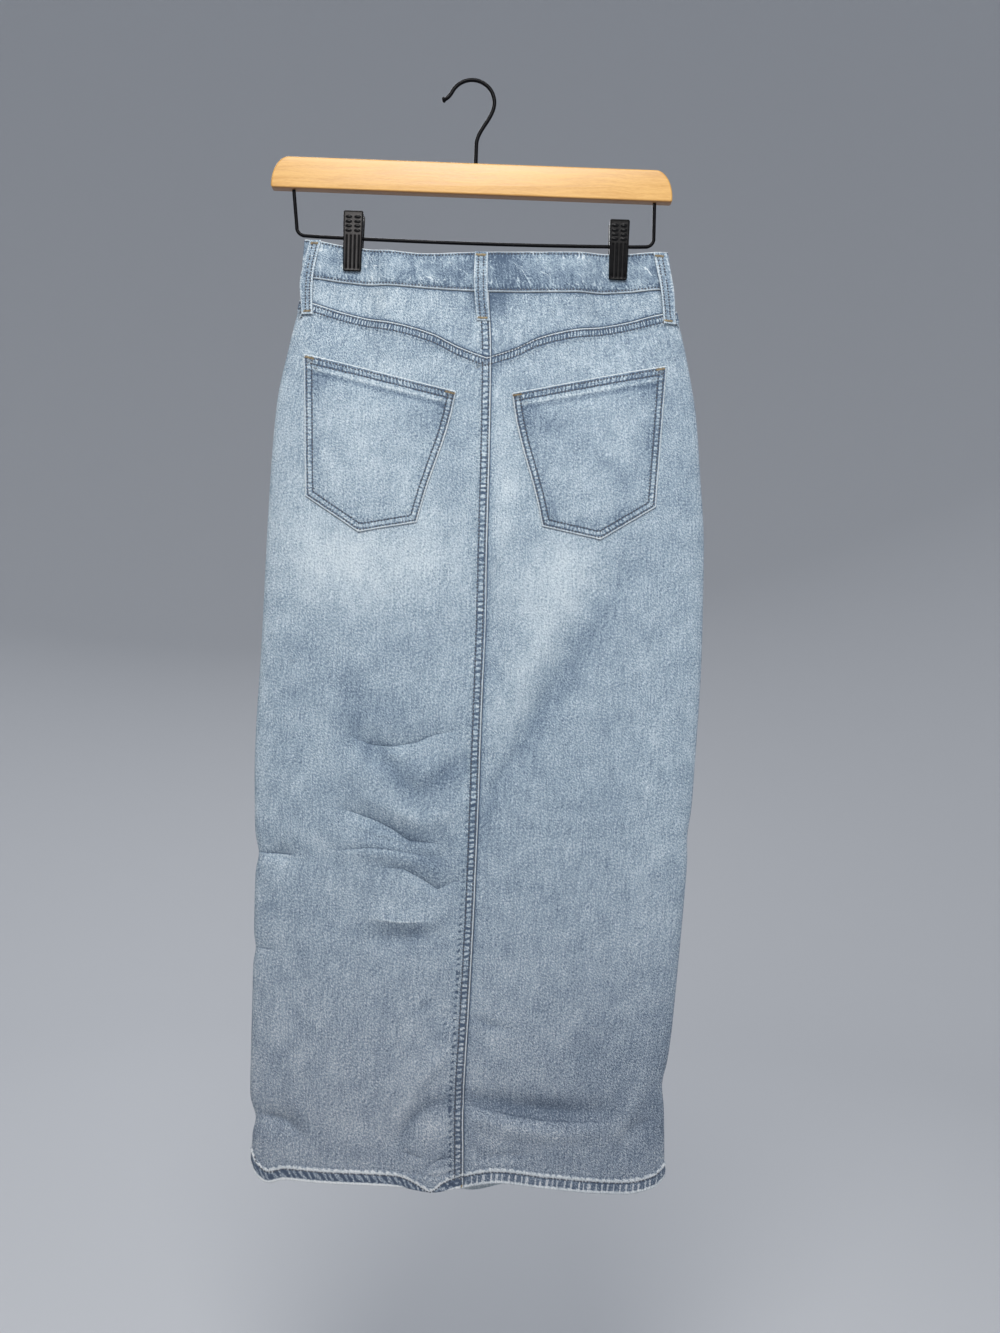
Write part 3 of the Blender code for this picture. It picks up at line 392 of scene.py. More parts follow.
def placed(mesh, materialName):
    mesh.materials.append(bpy.data.materials[materialName])
    piece = bpy.data.objects.new(mesh.name, mesh)
    bpy.context.collection.objects.link(piece)
    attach(piece, "root")
    return piece


def sheetMesh(name, inner, outer, layers, materialName):
    shape = outer.shape[:2]
    points = np.concatenate((outer.reshape(-1, 3), inner.reshape(-1, 3))) * mm
    faces = sheetFaces(*shape)
    i, j = shape[0] // 2, shape[1] // 2
    facing = np.cross(outer[i, j + 1] - outer[i, j], outer[i + 1, j] - outer[i, j])
    if not np.dot(facing, outer[i, j] - inner[i, j]) > 0.0:
        faces = [face[::-1] for face in faces]
    mesh = smoothMesh(name, points.tolist(), faces)
    for key, parts in layers.items():
        value = np.stack([np.broadcast_to(part, shape) for part in parts], axis=-1).reshape(-1, 3)
        both = np.concatenate((value, value))
        if key == "tone":
            both[len(value):, 2] = 1.0  # the wrong side of the cloth
        mesh.attributes.new(key, "FLOAT_VECTOR", "POINT").data.foreach_set("vector", both.ravel())
    return placed(mesh, materialName)


def clothSheet(name, side, x, z, lift, thickness, edge, layers, materialName):
    middle, half = lift + 0.5 * thickness, 0.5 * thickness * rounded(edge / edgeRound)
    outer, _ = onCloth(side, x, z, middle + half + 0.02)
    inner, _ = onCloth(side, x, z, middle - half - 0.02)
    return sheetMesh(name, inner, outer, layers, materialName)


# Materials

def newMaterial(name):
    made = bpy.data.materials.new(name)
    made.use_nodes = True
    return made.node_tree, made.node_tree.nodes["Principled BSDF"]


def addNode(tree, kind, inputs=None, **settings):
    made = tree.nodes.new(kind)
    for key, value in settings.items():
        setattr(made, key, value)
    for key, value in (inputs or {}).items():
        if isinstance(value, bpy.types.NodeSocket):
            tree.links.new(value, made.inputs[key])
        else:
            made.inputs[key].default_value = value
    return made


def calc(tree, operation, *values):
    return addNode(tree, "ShaderNodeMath", dict(enumerate(values)), operation=operation).outputs[0]


def times(tree, first, *others):
    for other in others:
        first = calc(tree, "MULTIPLY", first, other)
    return first


def wave(tree, value, pitch):
    return calc(tree, "SINE", times(tree, value, 2.0 * math.pi / pitch))


def band(tree, value, low, high):  # 0 below low, 1 above high
    made = addNode(tree, "ShaderNodeMapRange", {0: value, 1: low, 2: high}, interpolation_type="SMOOTHSTEP")
    return made.outputs[0]


def below(tree, value, low, high):  # 1 below low, 0 above high
    return calc(tree, "SUBTRACT", 1.0, band(tree, value, low, high))


def between(tree, value, a, b, c, d):  # rises from a to b, falls from c to d
    return times(tree, band(tree, value, a, b), below(tree, value, c, d))


def added(tree, *terms):  # sum of value * factor
    total = 0.0
    for value, factor in terms:
        total = calc(tree, "MULTIPLY_ADD", value, factor, total)
    return total


def noiseAt(tree, vector, scale=1.0, detail=2.0):
    made = addNode(tree, "ShaderNodeTexNoise", {"Vector": vector, "Scale": scale, "Detail": detail})
    return calc(tree, "SUBTRACT", made.outputs[0], 0.5)


def vectorOf(tree, x, y, z=0.0):
    return addNode(tree, "ShaderNodeCombineXYZ", {0: x, 1: y, 2: z}).outputs[0]


def ramp(tree, value, stops):
    made = addNode(tree, "ShaderNodeValToRGB", {0: value})
    elements = made.color_ramp.elements
    while len(elements) < len(stops):
        elements.new(0.5)
    for element, (at, colour) in zip(elements, stops):
        element.position = at
        element.color = (*colour, 1.0)
    return made.outputs[0]


def mixed(tree, share, first, second, blend="MIX"):
    made = addNode(tree, "ShaderNodeMix", {0: share, 6: first, 7: second}, data_type="RGBA", blend_type=blend)
    return made.outputs[2]


def split(tree, vector):
    return tuple(addNode(tree, "ShaderNodeSeparateXYZ", {0: vector}).outputs)


def partsOf(tree, attribute):
    return split(tree, addNode(tree, "ShaderNodeAttribute", attribute_name=attribute).outputs["Vector"])


def objectPlace(tree):
    return addNode(tree, "ShaderNodeTexCoord").outputs["Object"]


def bumped(tree, shader, height, distance, strength=1.0):
    made = addNode(tree, "ShaderNodeBump", {"Height": height, "Distance": distance, "Strength": strength})
    tree.links.new(made.outputs[0], shader.inputs["Normal"])


def surfaced(tree, shader, colour, roughness, fixed):  # fixed values by socket
    tree.links.new(colour, shader.inputs["Base Color"])
    tree.links.new(roughness, shader.inputs["Roughness"])
    for socket, value in fixed.items():
        shader.inputs[socket].default_value = value


denimLook = {
    "tones": (  # from unworn indigo to washed white
        (0.0, (0.070, 0.108, 0.170)), (0.25, (0.165, 0.230, 0.308)), (0.5, (0.300, 0.388, 0.470)),
        (0.75, (0.465, 0.560, 0.630)), (1.0, (0.70, 0.765, 0.80)),
    ),
    "reverse": ((0.40, (0.30, 0.36, 0.42)), (0.60, (0.52, 0.57, 0.60))),
    "cream": (0.74, 0.77, 0.77, 1.0),
    "creamShare": 0.6,
    "lowShadeTint": (0.92, 0.835, 0.815, 1.0),  # painted shade: the lowest part is darker and greyer, as the light falls off there
    "lowRange": (-1080.0, -620.0),
    "highRange": (-296.0, -262.0),  # from the pockets' tops up to the yoke
    "scales": {  # of each noise, with its detail
        "strokes": (1.0, 2.0), "speckle": (1.2, 1.0), "mottle": (0.42, 1.0), "slubs": (0.7, 2.0),
        "clouds": (0.045, 4.0), "blotches": (0.16, 3.0), "bend": (0.11, 2.0), "veins": (0.13, 1.0),
        "patches": (0.07, 2.0), "seamWander": (0.16, 2.0), "seamBars": (0.42, 1.0), "seamPatches": (0.045, 2.0),
        "seamSpots": (0.02, 1.0),
    },
    "strokeRun": 0.42,  # how long the strokes are drawn, and the slubs: less is longer
    "slubRun": 0.05,
    "strokes": 1.60,  # strength of the short diagonal marks
    "speckle": 1.70,
    "mottle": 0.30,
    "highGrain": 0.12,
    "highCrackle": 0.36,
    "lowGrain": 0.12,  # the lowest part shows its weave more
    "slubs": 0.50,
    "clouds": 0.40,
    "twill": 0.012,
    "twillPitch": 0.85,
    "ropePitch": 5.0,  # dark knots between the two rows of a seam
    "rope": 0.72,
    "ropeLevel": 0.25,
    "ropeRange": (2.7, -2.1),  # starts this far in from the edge, ends this far from the seam's width
    "ropeSoft": 0.6,
    "edge": 0.58,
    "edgeRange": (-0.5, 0.0, 0.5, 1.3),
    "rows": 0.42,  # indigo left in the grooves under the stitches, and painted shade in those grooves
    "rowPlaces": (2.2, 1.5),  # in from the edge, and back from the seam's width
    "rowRange": (0.35, 1.25),
    "kept": (-1.3, 1.75),  # less indigo is left in the most faded parts
    "puckerPitch": 6.4,
    "pucker": 0.20,
    "puckerRange": (-0.8, 0.8, 1.6, 5.0),
    "dots": 0.50,
    "dotRange": (1.2, 2.2, 3.8, 5.0),
    "dotHeights": (-830.0, -700.0),  # none above the knee
    "shadow": 0.15,
    "shadowRange": (0.5, 5.5),
    "shadowLine": 0.36,
    "shadowLineRange": (0.5, 1.9),
    "crackle": 0.20,
    "scratch": 0.30,
    # painted shade in crease hollows and painted light on their ridges, then a painted shade line along each narrow
    # crease with a painted highlight on its lip
    "crease": 0.10,
    "creaseLine": 0.30,
    "creaseCore": (0.1, 1.3),
    "creaseLip": (-4.6, -2.2, -1.8, -0.4),
    "bump": (0.0007, 0.8),  # metres, strength
    "hem": False,
}


hemLook = {
    "middle": (-4.0, 8.0),  # where the left manner gives way to the right one
    "left": {"pitch": 7.2, "lean": 0.8, "wander": 13.0, "dark": 0.66},
    "right": {"pitch": 6.3, "lean": -0.12, "wander": 12.0, "dark": 0.30, "light": 0.34},
    "bottomRange": (2.4, 3.3),  # heights above the edge
    "bodyRange": (1.6, 3.0, 8.4, 10.4),
    "grooveRange": (8.3, 9.4, 10.0, 11.0),
    "ridgeRange": (10.2, 11.2, 12.6, 14.4),
    "shadeRange": (13.4, 14.6, 15.6, 18.0),
    "bottom": 0.62,
    # painted shadow in the stitched groove under the ridge
    "groove": 0.28,
    "ridge": 0.42,
    "shade": 0.07,
}


def hemTones(tree, speckle):  # roped and dark to the left of the middle, ticked and frayed to the right
    look = hemLook
    along, above, _ = partsOf(tree, "hem")
    place = vectorOf(tree, along, above)
    right = band(tree, along, *look["middle"])
    left = calc(tree, "SUBTRACT", 1.0, right)
    wander = noiseAt(tree, vectorOf(tree, along, 0.0), 0.09)
    leftWave, rightWave = (
        wave(tree, added(tree, (along, 1.0), (above, part["lean"]), (wander, part["wander"])), part["pitch"])
        for part in (look["left"], look["right"]))
    ragged = added(tree, (above, 1.0), (noiseAt(tree, place, 0.4), 3.0), (leftWave, -0.7))
    ridge = between(tree, ragged, *look["ridgeRange"])
    groove = between(tree, above, *look["grooveRange"])
    body = between(tree, ragged, *look["bodyRange"])
    bottom = below(tree, added(tree, (ragged, 0.4), (above, 0.6)), *look["bottomRange"])
    patches = band(tree, added(tree, (leftWave, 0.5), (noiseAt(tree, place, 0.16), 1.6)), -0.35, 0.5)
    darker = times(tree, body, left, added(tree, (patches, 1.1), (1.0, 0.1)))
    onRight = times(tree, body, right)
    value = added(
        tree, (darker, -look["left"]["dark"]),
        (times(tree, onRight, band(tree, rightWave, 0.25, 0.9)), look["right"]["light"] + look["right"]["dark"]),
        (onRight, -look["right"]["dark"]),
        # painted shadow in the stitched groove
        (times(tree, groove, added(tree, (right, 0.7), (1.0, 0.3))), -look["groove"]),
        (times(tree, ridge, added(tree, (left, 0.4), (1.0, 0.6))), look["ridge"]),
        (times(tree, bottom, added(tree, (left, 0.6), (1.0, 0.4))), look["bottom"]),
        (between(tree, above, *look["shadeRange"]), -look["shade"]),
    )
    pale = times(tree, calc(tree, "MAXIMUM", bottom, ridge), added(tree, (speckle, 1.4), (1.0, 0.7)))
    return value, pale


def weaveMarks(tree, look, u, v):  # strokes, speckle, slubs, twill lines, and the grain that they make
    plain, scales, diagonal = vectorOf(tree, u, v), look["scales"], 0.7071
    downTwill = times(tree, calc(tree, "SUBTRACT", u, v), diagonal)
    acrossTwill = times(tree, calc(tree, "ADD", u, v), diagonal)
    drawn = vectorOf(tree, times(tree, downTwill, look["strokeRun"]), acrossTwill)
    strokes = noiseAt(tree, drawn, *scales["strokes"])
    speckle, mottle = noiseAt(tree, plain, *scales["speckle"]), noiseAt(tree, plain, *scales["mottle"])
    slubs = noiseAt(tree, vectorOf(tree, u, times(tree, v, look["slubRun"])), *scales["slubs"])
    grain = added(tree, (strokes, look["strokes"]), (speckle, look["speckle"]), (mottle, look["mottle"]))
    return strokes, speckle, slubs, wave(tree, acrossTwill, look["twillPitch"]), grain


def seamMarks(tree, look, v, fadeAndShade, speckle):  # knots between the stitches, worn edge, puckers, dots
    along, inward, width = partsOf(tree, "seam")
    line, scales = vectorOf(tree, along, 0.0), look["scales"]
    wander = noiseAt(tree, vectorOf(tree, along, times(tree, inward, 0.6)), *scales["seamWander"])
    bars = noiseAt(tree, vectorOf(tree, along, times(tree, inward, 0.12)), *scales["seamBars"])
    beat = wave(tree, added(tree, (along, 1.0), (inward, 0.12), (wander, 7.0)), look["ropePitch"])
    lump = wave(tree, added(tree, (along, 1.0), (inward, 0.3), (wander, 10.0)), look["puckerPitch"])
    rope = added(tree, (band(tree, beat, -0.45, 0.6), 1.0), (bars, 1.6))
    uneven = band(tree, noiseAt(tree, line, *scales["seamPatches"]), -0.34, 0.16)
    spots = band(tree, noiseAt(tree, line, *scales["seamSpots"]), -0.34, -0.02)
    hasSeam = band(tree, width, 0.2, 0.8)
    past = calc(tree, "SUBTRACT", inward, width)
    kept = added(tree, (fadeAndShade, look["kept"][0]), (1.0, look["kept"][1]))
    (start, stop), soft = look["ropeRange"], look["ropeSoft"]
    roped = times(tree, band(tree, inward, start - soft, start + soft), below(tree, past, stop - soft, stop + soft),
                  hasSeam, uneven, kept)
    dots = times(tree, between(tree, past, *look["dotRange"]), band(tree, lump, 0.15, 0.8), hasSeam,
                 times(tree, spots, below(tree, v, *look["dotHeights"])))
    fromRow = calc(tree, "MINIMUM", calc(tree, "ABSOLUTE", calc(tree, "SUBTRACT", inward, look["rowPlaces"][0])),
                   calc(tree, "ABSOLUTE", calc(tree, "ADD", past, look["rowPlaces"][1])))
    return {
        "knots": times(tree, roped, calc(tree, "SUBTRACT", rope, look["ropeLevel"])),
        "rope": times(tree, roped, rope),
        "puckers": times(tree, times(tree, between(tree, past, *look["puckerRange"]), hasSeam), lump),
        "dots": dots,
        "rows": times(tree, below(tree, fromRow, *look["rowRange"]), hasSeam, kept),
        "worn": times(tree, between(tree, inward, *look["edgeRange"]), hasSeam,
                      added(tree, (speckle, 1.6), (1.0, 0.9))),
    }


def crackMarks(tree, look, u, v):  # blotches of the wash, and fine scratches in patches
    plain, scales = vectorOf(tree, u, v), look["scales"]
    blotches = noiseAt(tree, vectorOf(tree, u, times(tree, v, 0.55)), *scales["blotches"])
    bend, patches = noiseAt(tree, plain, *scales["bend"]), noiseAt(tree, plain, *scales["patches"])
    path = vectorOf(tree, added(tree, (u, 1.0), (v, 0.55), (bend, 9.0)), times(tree, v, 0.3))
    veins = calc(tree, "ABSOLUTE", noiseAt(tree, path, *scales["veins"]))
    scratch = times(tree, below(tree, veins, 0.0, 0.020), band(tree, patches, -0.08, 0.10))
    return added(tree, (blotches, 1.0), (scratch, look["scratch"]))


def creaseMarks(tree, look):  # a painted shade line with a painted highlight on the lip under it
    line, force, _ = partsOf(tree, "crease")
    core = times(tree, below(tree, calc(tree, "ABSOLUTE", line), *look["creaseCore"]), force)
    return core, times(tree, between(tree, line, *look["creaseLip"]), force)


def denimMaterial(name, look):
    tree, shader = newMaterial(name)
    u, v, under = partsOf(tree, "weave")
    # the fade with its painted shade, the creases' painted shade and light, and which side of the cloth shows
    fadeAndShade, crease, wrongSide = partsOf(tree, "tone")
    low, high = below(tree, v, *look["lowRange"]), band(tree, v, *look["highRange"])
    strokes, speckle, slubs, twill, grain = weaveMarks(tree, look, u, v)
    grain = times(tree, grain, added(tree, (low, look["lowGrain"]), (high, look["highGrain"]), (1.0, 1.0)))
    seam = seamMarks(tree, look, v, fadeAndShade, speckle)
    cracks = crackMarks(tree, look, u, v)
    core, lip = creaseMarks(tree, look)
    value = added(
        tree, (fadeAndShade, 1.0), (grain, 1.0), (slubs, look["slubs"]),
        (noiseAt(tree, vectorOf(tree, u, v), *look["scales"]["clouds"]), look["clouds"]), (twill, look["twill"]),
        (core, -look["creaseLine"]), (lip, look["creaseLine"] * 0.45), (crease, look["crease"]),
        (seam["knots"], -look["rope"]), (seam["puckers"], -look["pucker"] * 0.5), (seam["dots"], -look["dots"]),
        (below(tree, under, *look["shadowRange"]), -look["shadow"]),
        (below(tree, under, *look["shadowLineRange"]), -look["shadowLine"]), (seam["rows"], -look["rows"]),
        (cracks, look["crackle"]), (times(tree, cracks, high), look["highCrackle"]), (seam["worn"], look["edge"]),
    )
    worn = seam["worn"]
    if look["hem"]:
        hemValue, hemWorn = hemTones(tree, speckle)
        value = calc(tree, "ADD", value, hemValue)
        worn = calc(tree, "MAXIMUM", worn, hemWorn)
    # painted shade: darker and greyer towards the bottom
    colour = mixed(tree, low, ramp(tree, value, look["tones"]), look["lowShadeTint"], "MULTIPLY")
    colour = mixed(tree, times(tree, worn, look["creamShare"]), colour, look["cream"])
    reverse = ramp(tree, added(tree, (strokes, 0.5), (slubs, 0.5), (1.0, 0.5)), look["reverse"])
    surfaced(tree, shader, mixed(tree, wrongSide, colour, reverse), added(tree, (value, 0.10), (1.0, 0.80)),
             {"Sheen Weight": 0.12, "Sheen Roughness": 0.5, "Specular IOR Level": 0.25})
    height = added(
        tree, (strokes, 0.9), (speckle, 0.5), (slubs, 0.6), (twill, 0.10), (seam["rope"], -0.45),
        (seam["puckers"], -0.4), (seam["rows"], -0.5), (seam["dots"], -0.6), (core, -1.4), (lip, 0.7),
    )
    bumped(tree, shader, height, *look["bump"])


threadLooks = {
    "thread indigo": ((0.036, 0.042, 0.056), (0.100, 0.108, 0.128)),
    "thread gold": ((0.165, 0.112, 0.052), (0.37, 0.285, 0.150)),
    "thread pale": ((0.50, 0.54, 0.55), (0.72, 0.75, 0.75)),
}


def threadMaterial(name, dark, light):
    tree, shader = newMaterial(name)
    place = objectPlace(tree)
    patchy = added(tree, (noiseAt(tree, place, 260.0), 1.6), (noiseAt(tree, place, 1600.0), 1.0), (1.0, 0.5))
    colour = ramp(tree, patchy, ((0.2, dark), (0.8, light)))
    surfaced(tree, shader, colour, added(tree, (patchy, 0.15), (1.0, 0.62)), {"Sheen Weight": 0.2})
    bumped(tree, shader, noiseAt(tree, place, 2600.0), 0.0002, 0.6)


denims = {  # what each cloth changes
    "washed denim": {"hem": True},
    "waistband denim": {
        "crackle": 0.62, "scratch": 0.95, "clouds": 0.85, "strokes": 1.3, "speckle": 1.45, "edge": 0.5,
        "rows": 0.12, "rope": 0.24, "ropePitch": 3.6, "ropeRange": (2.9, 2.5), "highGrain": 0.0, "highCrackle": 0.0,
    },
    "pocket denim": {"clouds": 0.42, "rope": 0.42, "ropeLevel": 0.42, "ropePitch": 3.8, "edge": 0.40},
    "strap denim": {"edge": 0.75, "rows": 0.0, "slubs": 0.6, "highGrain": 0.0, "highCrackle": 0.0},
}
for name, changes in denims.items():
    denimMaterial(name, {**denimLook, **changes})
for name, (dark, light) in threadLooks.items():
    threadMaterial(name, dark, light)
print("fabric materials made")


# How the wash has faded the cloth, with painted shade and light laid into the same values

washAndShade = {
    "base": {"back": 0.49, "front": 0.52, "band": 0.35, "pocket": 0.57, "strap": 0.47},
    "ripples": {  # cell size, amount, seed
        "panel": ((30.0, 0.03, 71), (12.0, 0.025, 72)),
        "band": ((24.0, 0.10, 51), (9.0, 0.07, 52)),
        "pocket": ((22.0, 0.05, 61), (9.0, 0.04, 62)),
    },
    "back": (  # x, z, half width, half height, lean, amount; the negative ones are mostly painted shade in folds, under the overhang and towards the lower right
        (-78, -462, 78, 46, 0.0, 0.27), (-28, -430, 18, 44, 0.0, 0.14), (-120, -440, 40, 60, 0.0, 0.12),
        (46, -392, 13, 62, 0.0, 0.20), (96, -464, 46, 52, -0.45, 0.28), (60, -560, 26, 60, -0.3, 0.10),
        (-160, -345, 26, 100, 0.0, 0.10), (-90, -216, 60, 18, 0.0, 0.10), (120, -212, 60, 16, 0.0, 0.02),
        (-60, -280, 60, 14, 0.2, 0.10), (110, -268, 60, 14, 0.2, 0.08), (26, -330, 20, 60, 0.0, 0.08),
        (28, -212, 20, 16, 0.0, -0.14), (9, -208, 6, 20, 0.0, -0.20), (-85, -596, 34, 26, 0.4, -0.09),
        (-18, -680, 30, 26, 0.0, -0.07), (30, -205, 11, 16, 0.0, -0.42), (168, -925, 50, 46, 0.0, -0.06),
        (-148, -1001, 34, 14, -0.9, -0.11), (110, -1010, 110, 60, 0.0, -0.07), (196, -700, 22, 300, 0.0, 0.05),
        (60, -400, 60, 30, 0.3, 0.04), (-30, -806, 44, 14, 0.0, -0.05), (88, -964, 66, 12, 0.05, -0.12),
        (-20, -590, 60, 40, 0.0, 0.04), (-140, -650, 30, 90, 0.0, 0.03), (205, -980, 90, 110, 0.0, -0.11),
        (-32, -716, 34, 12, 0.15, -0.11), (-22, -742, 24, 12, 0.0, -0.07), (-178, -560, 9, 280, 0.0, 0.09),
        (228, -560, 9, 200, 0.0, 0.06), (214, -930, 24, 90, 0.0, -0.09), (120, -225, 70, 22, 0.0, -0.04),
        (10, -450, 12, 76, 0.0, 0.08), (52, -512, 16, 54, -0.2, -0.05),
    ),
    "front": ((-78, -480, 70, 120, 0.0, 0.20), (100, -480, 70, 120, 0.0, 0.20), (20, -330, 120, 60, 0.0, 0.08)),
    "creaseTone": (0.6, 2.0),  # painted shade in the creases' hollows and painted light on their ridges: how much, and its limit
}
noLap = 99.0  # a distance from the next lap that is too far to show
seamReach = 60.0  # further from a seam than this makes no difference


def marked(total, marks, x, z):
    for cx, cz, rx, rz, lean, amount in marks:
        dz = z - cz
        total = total + amount * bump(np.hypot((x - cx + lean * dz) / rx, dz / rz))
    return total


def rippled(total, ripples, x, z):
    for cell, amount, seed in ripples:
        total = total + amount * ripple(x, z, cell, seed)
    return total


def washAndShadeAt(side, x, z):
    name = "back" if side < 0 else "front"
    total = marked(np.full(np.shape(x), washAndShade["base"][name]), washAndShade[name], x, z)
    return rippled(total, washAndShade["ripples"]["panel"], x, z)


# the fade with its painted shade, then painted shade in crease hollows and painted light on crease ridges
def toneLayer(side, x, z, fadeAndShade):
    amount, limit = washAndShade["creaseTone"]
    return fadeAndShade, np.clip(amount * creaseField(side, x, z), -limit, limit), 0.0


def nearestSeam(shape, seams):  # each seam: along, inward, width; the nearest counts
    along, inward, width = np.zeros(shape), np.full(shape, 1e3), np.zeros(shape)
    for a, i, w in seams:
        closer = i < inward
        along, inward, width = np.where(closer, a, along), np.where(closer, i, inward), np.where(closer, w, width)
    return along, np.clip(inward, -seamReach, seamReach), width


def ridgeAt(distance, place, width, rise):  # rounded, this far from an edge
    return rise * bump((distance - place) / width)


# The long panels and the yoke

panel = {
    "lap": 9.5,
    "lapRise": 0.9,
    "back": {"step": 2.4, "length": 776.0, "fineZones": ((345, 520), (600, 760)),
             "cut": (0.232, 0.800), "hem": "hemBack", "restsOn": "waistband_back"},
    "front": {"step": 4.2, "length": 836.0, "fineZones": (),
              "cut": (0.226, 0.866), "hem": "hemFront", "restsOn": "waistband_front_left"},
    "fineStep": 1.7,  # in the zones, which are distances down from the yoke
    "hem": 12.5,
    "hemRise": 1.1,
    "hemRidge": (12.3, 1.5, 0.6),  # height above the edge, width, rise
    "hemGroove": (9.8, 1.2, 0.5),
    "hemEdge": (0.9, 0.9, 0.5),
    "hemRope": {"at": 6.5, "width": 3.4, "rise": 0.26, "pitch": 7.4, "lean": 0.35, "wander": 2.5},
    "hemShows": ((-60, 1.0), (-44, 0.98), (-30, 0.9), (-18, 0.66), (-8, 0.32), (-3, 0.16), (2, 0.4), (8, 0.74),
                 (16, 0.92), (27, 1.0), (220, 1.0)),  # how much of the hem's band shows, by x
    "secondEdge": {"at": 18.5, "lean": 0.10, "width": 1.8, "from": -12.0, "to": 18.0, "soft": 14.0, "rise": 0.9,
                   "fadeAndShade": 0.14},  # the other panel's hem, just above the lap
    "puckers": {"rise": 0.14, "pitch": 5.6, "wander": 1.5, "from": 11.0, "reach": 9.0},  # beside the seam
    "topShade": (5.1, 2.6, 0.12),
}
yokeLook = {"step": 1.9, "length": 56.0, "lapRise": 0.6, "paler": 0.02}


def plainSection(z):
    return {key: float(value) for key, value in sectionAt(z).items()}


def arcAlong(dx, dz):
    return np.concatenate(([0.0], np.cumsum(np.hypot(dx, dz))))


def columnsFor(side, half, step, borders=()):  # shares of the way across, and their distances along the cloth
    row = plainSection(tube["levels"]["middle"])
    middle = (row["left"] + row["right"]) / 2.0
    halfWidth = (row["right"] - row["left"]) / 2.0 - tube["denim"]
    seam = row["seam"] if side < 0 else middle
    q = 1.0 - np.linspace(1.0, 0.0, 3000) ** 2
    x = partWay(seam, middle + half * halfWidth, q)
    depth = row["back" if side < 0 else "front"] * np.sqrt(np.maximum(0.0, 1.0 - ((x - middle) / halfWidth) ** 2))
    arc = arcAlong(np.diff(x), np.diff(depth))
    wanted = spread(arc[-1], step, borders)
    if borders:
        wanted = np.sort(np.concatenate((wanted, np.arange(2.6, borders[0] - 0.5, 0.9))))
    return np.interp(wanted, arc, q), wanted


def rowsFor(length, step, fineStep=None, zones=(), borders=(), hem=0.0):
    rim = edgePlaces[-1]
    places = [*edgePlaces, *(length - p for p in edgePlaces)]
    places += [at + p for at in borders for p in (-0.6, *borderPlaces)]
    if hem:
        places += [length - p for p in np.arange(2.5, hem + 4.0, 0.85)]
    at = rim
    while at < length - rim - hem:
        at += fineStep if any(low < at < high for low, high in zones) else step
        if all(abs(at - p) > 0.6 for p in places) and at < length - rim:
            places.append(at)
    return np.array(sorted(places))


def seamedGrid(side, half, q, top, low, down):
    z = partWay(top, low, (down / down[-1])[:, None])
    x = across(side, q, z)
    x[:, 0] += half * tube["gap"] / 2.0
    return x, z


def yokeFoot(q):
    return yokeHeight(across(-1, q, tube["levels"]["yoke"]))


def rolledUnder(x):  # how much of the back's hem is rolled out of sight
    return panel["hem"] * (1.0 - smoothCurve(*zip(*panel["hemShows"]), x))


def secondHem(x, fromHem):
    look = panel["secondEdge"]
    shown = smoothstep((x - look["from"]) / look["soft"])
    line = bump((fromHem - look["at"] - look["lean"] * x) / look["width"])
    return line * shown * (1.0 - smoothstep((x - look["to"]) / look["soft"]))


def hemRelief(u, fromHem, above):
    rope = panel["hemRope"]
    turned = u + rope["lean"] * fromHem + rope["wander"] * ripple(u, 0.0 * u, 26.0, 31)
    twist = rope["rise"] * np.sin(2.0 * np.pi * turned / rope["pitch"])
    grooved = ridgeAt(above, *panel["hemRidge"]) - ridgeAt(above, *panel["hemGroove"])
    return grooved + (ridgeAt(above, rope["at"], rope["width"], twist) + ridgeAt(above, *panel["hemEdge"]))


def seamPuckers(z, fromSeam):
    look = panel["puckers"]
    turned = z + look["wander"] * ripple(z, 0.0 * z, 30.0, 32)
    ripples = look["rise"] * np.sin(2.0 * np.pi * turned / look["pitch"])
    return ripples * (1.0 - smoothstep((fromSeam - look["from"]) / look["reach"])) * smoothstep(fromSeam / 2.0)


def makePanel(name, side, half, word):
    isBack, lapped, lap = side < 0, half < 0, panel["lap"]
    look = panel["back" if isBack else "front"]
    columns, arc = columnsFor(side, half, look["step"], (lap,))
    borders = (lap,) if isBack else ()
    down = rowsFor(look["length"], look["step"], panel["fineStep"], look["fineZones"], borders, panel["hem"])
    q = half * columns
    frontTop = lineHeight("bandLowFront", across(1, q, tube["levels"]["frontTop"]))
    top = (yokeFoot(q) if isBack else frontTop) - tube["gap"]
    low = lineHeight(look["hem"], across(side, q, tube["levels"]["hem"]))
    x, z = seamedGrid(side, half, q, top, low, down)
    fromTop, fromHem, fromSeam = top - z, z - low, abs(x - across(side, 0.0, z))
    u = half * arc[None, :]
    above = fromHem + rolledUnder(x) if isBack else fromHem
    raised = border(fromHem, panel["hem"], panel["hemRise"])
    seams = []
    if lapped:
        raised = np.maximum(raised, border(fromSeam, lap, panel["lapRise"]))
        seams.append((z, fromSeam, lap))
    ridges = hemRelief(u, fromHem, above)
    fadeAndShade = washAndShadeAt(side, x, z)
    if isBack:
        raised = np.maximum(raised, border(fromTop, lap, panel["lapRise"]))
        seams.append((1.5 * u, fromTop, lap))
        second = secondHem(x, fromHem)
        ridges += panel["secondEdge"]["rise"] * second
        fadeAndShade += panel["secondEdge"]["fadeAndShade"] * second - ridgeAt(fromTop, *panel["topShade"])
    raised += seamPuckers(z, fromSeam)
    layers = {
        "weave": (u, z, noLap if lapped else fromSeam),
        "seam": nearestSeam(x.shape, seams),
        "tone": toneLayer(side, x, z, fadeAndShade),
        "crease": creaseLayer(side, x, z),
        "hem": (u, above, 0.0),
    }
    edge = least(fromHem, fromTop, arc, arc[-1] - arc)
    thickness = tube["denim"] + raised + ridges
    piece = clothSheet(name, side, x, z, 0.0, thickness, edge, layers, "washed denim")
    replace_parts(piece, word)


